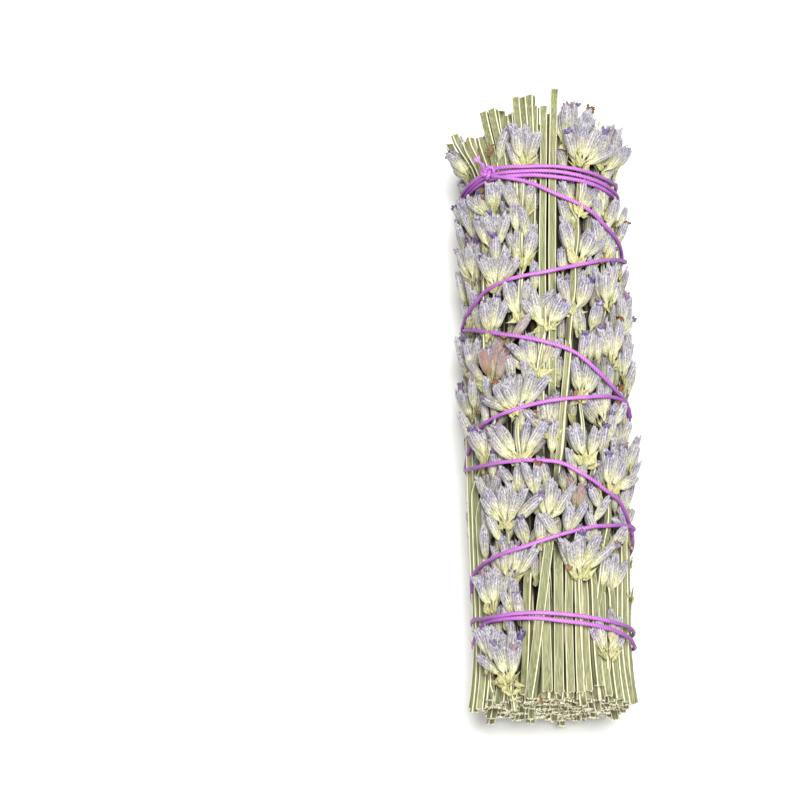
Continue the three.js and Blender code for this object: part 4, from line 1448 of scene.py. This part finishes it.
class LAVENDER_OT_stalks(Operator):
    """Pack the bare stalks"""

    bl_idname = "lavender.stalks"
    bl_label = "Packed stalks"

    def execute(self, context):
        scene = context.scene
        bunch = Bunch(scene)
        material = dried_stalk(scene.lavender_stalks)
        stalks = Stalks(scene.lavender_stalks, bunch)
        # Painted shade where the stalks lie deep between the others.
        shown = stalks.outer.build("stalks_outside", bunch.wrap, [material], painted_shade_of_stalks)
        hidden = stalks.inner.build("stalks_inside", bunch.place_core, [material], painted_shade_of_core)
        for piece in (shown, hidden):
            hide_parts("stems")
        return {"FINISHED"}


class LAVENDER_OT_thread(Operator):
    """Wind the waxed thread round the bunch"""

    bl_idname = "lavender.thread"
    bl_label = "Thread"

    def execute(self, context):
        scene = context.scene
        sizes = scene.lavender_thread
        bunch = Bunch(scene)
        piece = Piece()
        runs = thread_runs(sizes)
        for run in runs:
            twisted_tube(piece, bunch.in_space(run), sizes.radius / MM, sizes.lay / MM)
        fray(piece, bunch, runs[-1][-1], sizes.radius / MM)
        cotton = waxed_cotton(sizes)
        # The thread gets painted shade down its sides.
        thread = piece.build("thread_wound", lambda points: points * MM, [cotton], painted_shade_of_thread)
        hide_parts("thread")
        return {"FINISHED"}


class LAVENDER_OT_sprigs(Operator):
    """Lay the flower sprigs round the bunch, and the odd flowers between them"""

    bl_idname = "lavender.sprigs"
    bl_label = "Flower sprigs"

    def execute(self, context):
        scene = context.scene
        bunch = Bunch(scene)
        sizes = scene.lavender_flowers
        stalk = bpy.data.materials["dried_stalk"]
        finishes = [felted_calyx(sizes), dried_petal(sizes), papery_bract(sizes), stalk]
        flowers = Flowers(scene, thread_runs(scene.lavender_thread))
        for number, parts in flowers.pieces.items():
            # Painted shade where the flowers lie low between the others.
            sprig = parts.build(f"sprig_{number:02d}_flowers", bunch.wrap, finishes, painted_shade_of_flowers)
            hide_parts(f"sprig_{number:02d}")
        between = flowers.loose.build("flowers_between", bunch.wrap, finishes, painted_shade_of_flowers)
        ends = end_flowers(sizes, bunch)
        # Painted shade on the flowers deep in the tip end.
        ends = ends.build("flowers_in_the_end", bunch.place_core, finishes, painted_shade_of_end_flowers)
        return {"FINISHED"}


SWEEP_SIZE = 1.6  # from the middle of the sweep to each side, in metres
ROOM_LIGHT = 0.28
# The lights: name, place in metres, width of the disk in metres, and power in watts.
SOFTBOXES = [("key_softbox", (0.07, 0.04, 1.0), 0.6, 17), ("fill_softbox", (-0.1, -0.95, 0.42), 0.5, 5)]
# Where the camera stands, in millimetres: x and y from the bunch's axis, and z above the floor.
CAMERA_PLACE = (-35.56, -152.1, 498.83)
SENSOR_WIDTH = 36  # in millimetres
NEAREST_SEEN = 0.01  # in metres


class LAVENDER_OT_studio(Operator):
    """Set up the white sweep, the soft lights and the camera"""

    bl_idname = "lavender.studio"
    bl_label = "Studio"

    def execute(self, context):
        scene = context.scene
        studio = scene.lavender_studio
        mesh = bpy.data.meshes.new("sweep")
        corners = [(x * SWEEP_SIZE, y * SWEEP_SIZE, 0) for x, y in ((-1, -1), (1, -1), (1, 1), (-1, 1))]
        mesh.from_pydata(corners, [], [(0, 1, 2, 3)])
        mesh.materials.append(matt_sweep_paper(studio))
        sweep = bpy.data.objects.new("sweep", mesh)
        scene.collection.objects.link(sweep)

        world = bpy.data.worlds.new("pale_room")
        world.use_nodes = True
        background = world.node_tree.nodes["Background"]
        background.inputs["Color"].default_value = (1, 1, 1, 1)
        background.inputs["Strength"].default_value = ROOM_LIGHT
        scene.world = world
        for name, place, size, power in SOFTBOXES:
            light = bpy.data.lights.new(name, "AREA")
            light.shape, light.size, light.energy = "DISK", size, power
            lamp = bpy.data.objects.new(name, light)
            lamp.location = place
            lamp.rotation_euler = (-Vector(place)).to_track_quat("-Z", "Y").to_euler()
            scene.collection.objects.link(lamp)

        camera = bpy.data.cameras.new("camera")
        camera.lens, camera.sensor_width, camera.clip_start = studio.lens, SENSOR_WIDTH, NEAREST_SEEN
        holder = bpy.data.objects.new("camera", camera)
        x, y, z = CAMERA_PLACE
        holder.location = ((x + AXIS_X) * MM, (y + AXIS_Y) * MM, z * MM)
        turned = Matrix.Rotation(studio.tilt, 3, "X") @ Matrix.Rotation(-studio.roll, 3, "Z")
        holder.rotation_euler = turned.to_euler()
        scene.collection.objects.link(holder)
        scene.camera = holder
        scene.view_settings.view_transform = "Standard"
        return {"FINISHED"}


class LAVENDER_PT_bunch(Panel):
    """The steps that build the bunch, with their sizes and colours"""

    bl_label = "Dried lavender bunch"
    bl_space_type = "VIEW_3D"
    bl_region_type = "UI"
    bl_category = "Lavender"

    def draw(self, context):
        for title, settings, operator in (
            ("Bunch", "lavender_bunch", None),
            ("Stalks", "lavender_stalks", LAVENDER_OT_stalks),
            ("Flowers", "lavender_flowers", LAVENDER_OT_sprigs),
            ("Thread", "lavender_thread", LAVENDER_OT_thread),
            ("Studio", "lavender_studio", LAVENDER_OT_studio),
        ):
            box = self.layout.box()
            box.label(text=title)
            group = getattr(context.scene, settings)
            for name in group.__annotations__:
                box.prop(group, name)
            if operator:
                box.operator(operator.bl_idname)


GROUPS = {
    "lavender_bunch": LAVENDER_PG_bunch,
    "lavender_stalks": LAVENDER_PG_stalks,
    "lavender_flowers": LAVENDER_PG_flowers,
    "lavender_thread": LAVENDER_PG_thread,
    "lavender_studio": LAVENDER_PG_studio,
}
OPERATORS = (LAVENDER_OT_studio, LAVENDER_OT_stalks, LAVENDER_OT_thread, LAVENDER_OT_sprigs)
CLASSES = (*GROUPS.values(), *OPERATORS, LAVENDER_PT_bunch)


def register():
    for group in CLASSES:
        bpy.utils.register_class(group)
    for name, group in GROUPS.items():
        setattr(bpy.types.Scene, name, PointerProperty(type=group))


def unregister():
    for name in GROUPS:
        delattr(bpy.types.Scene, name)
    for group in reversed(CLASSES):
        bpy.utils.unregister_class(group)


def main():
    register()
    bpy.ops.lavender.studio()
    bpy.ops.lavender.stalks()
    bpy.ops.lavender.thread()
    bpy.ops.lavender.sprigs()


if __name__ == "__main__":
    main()
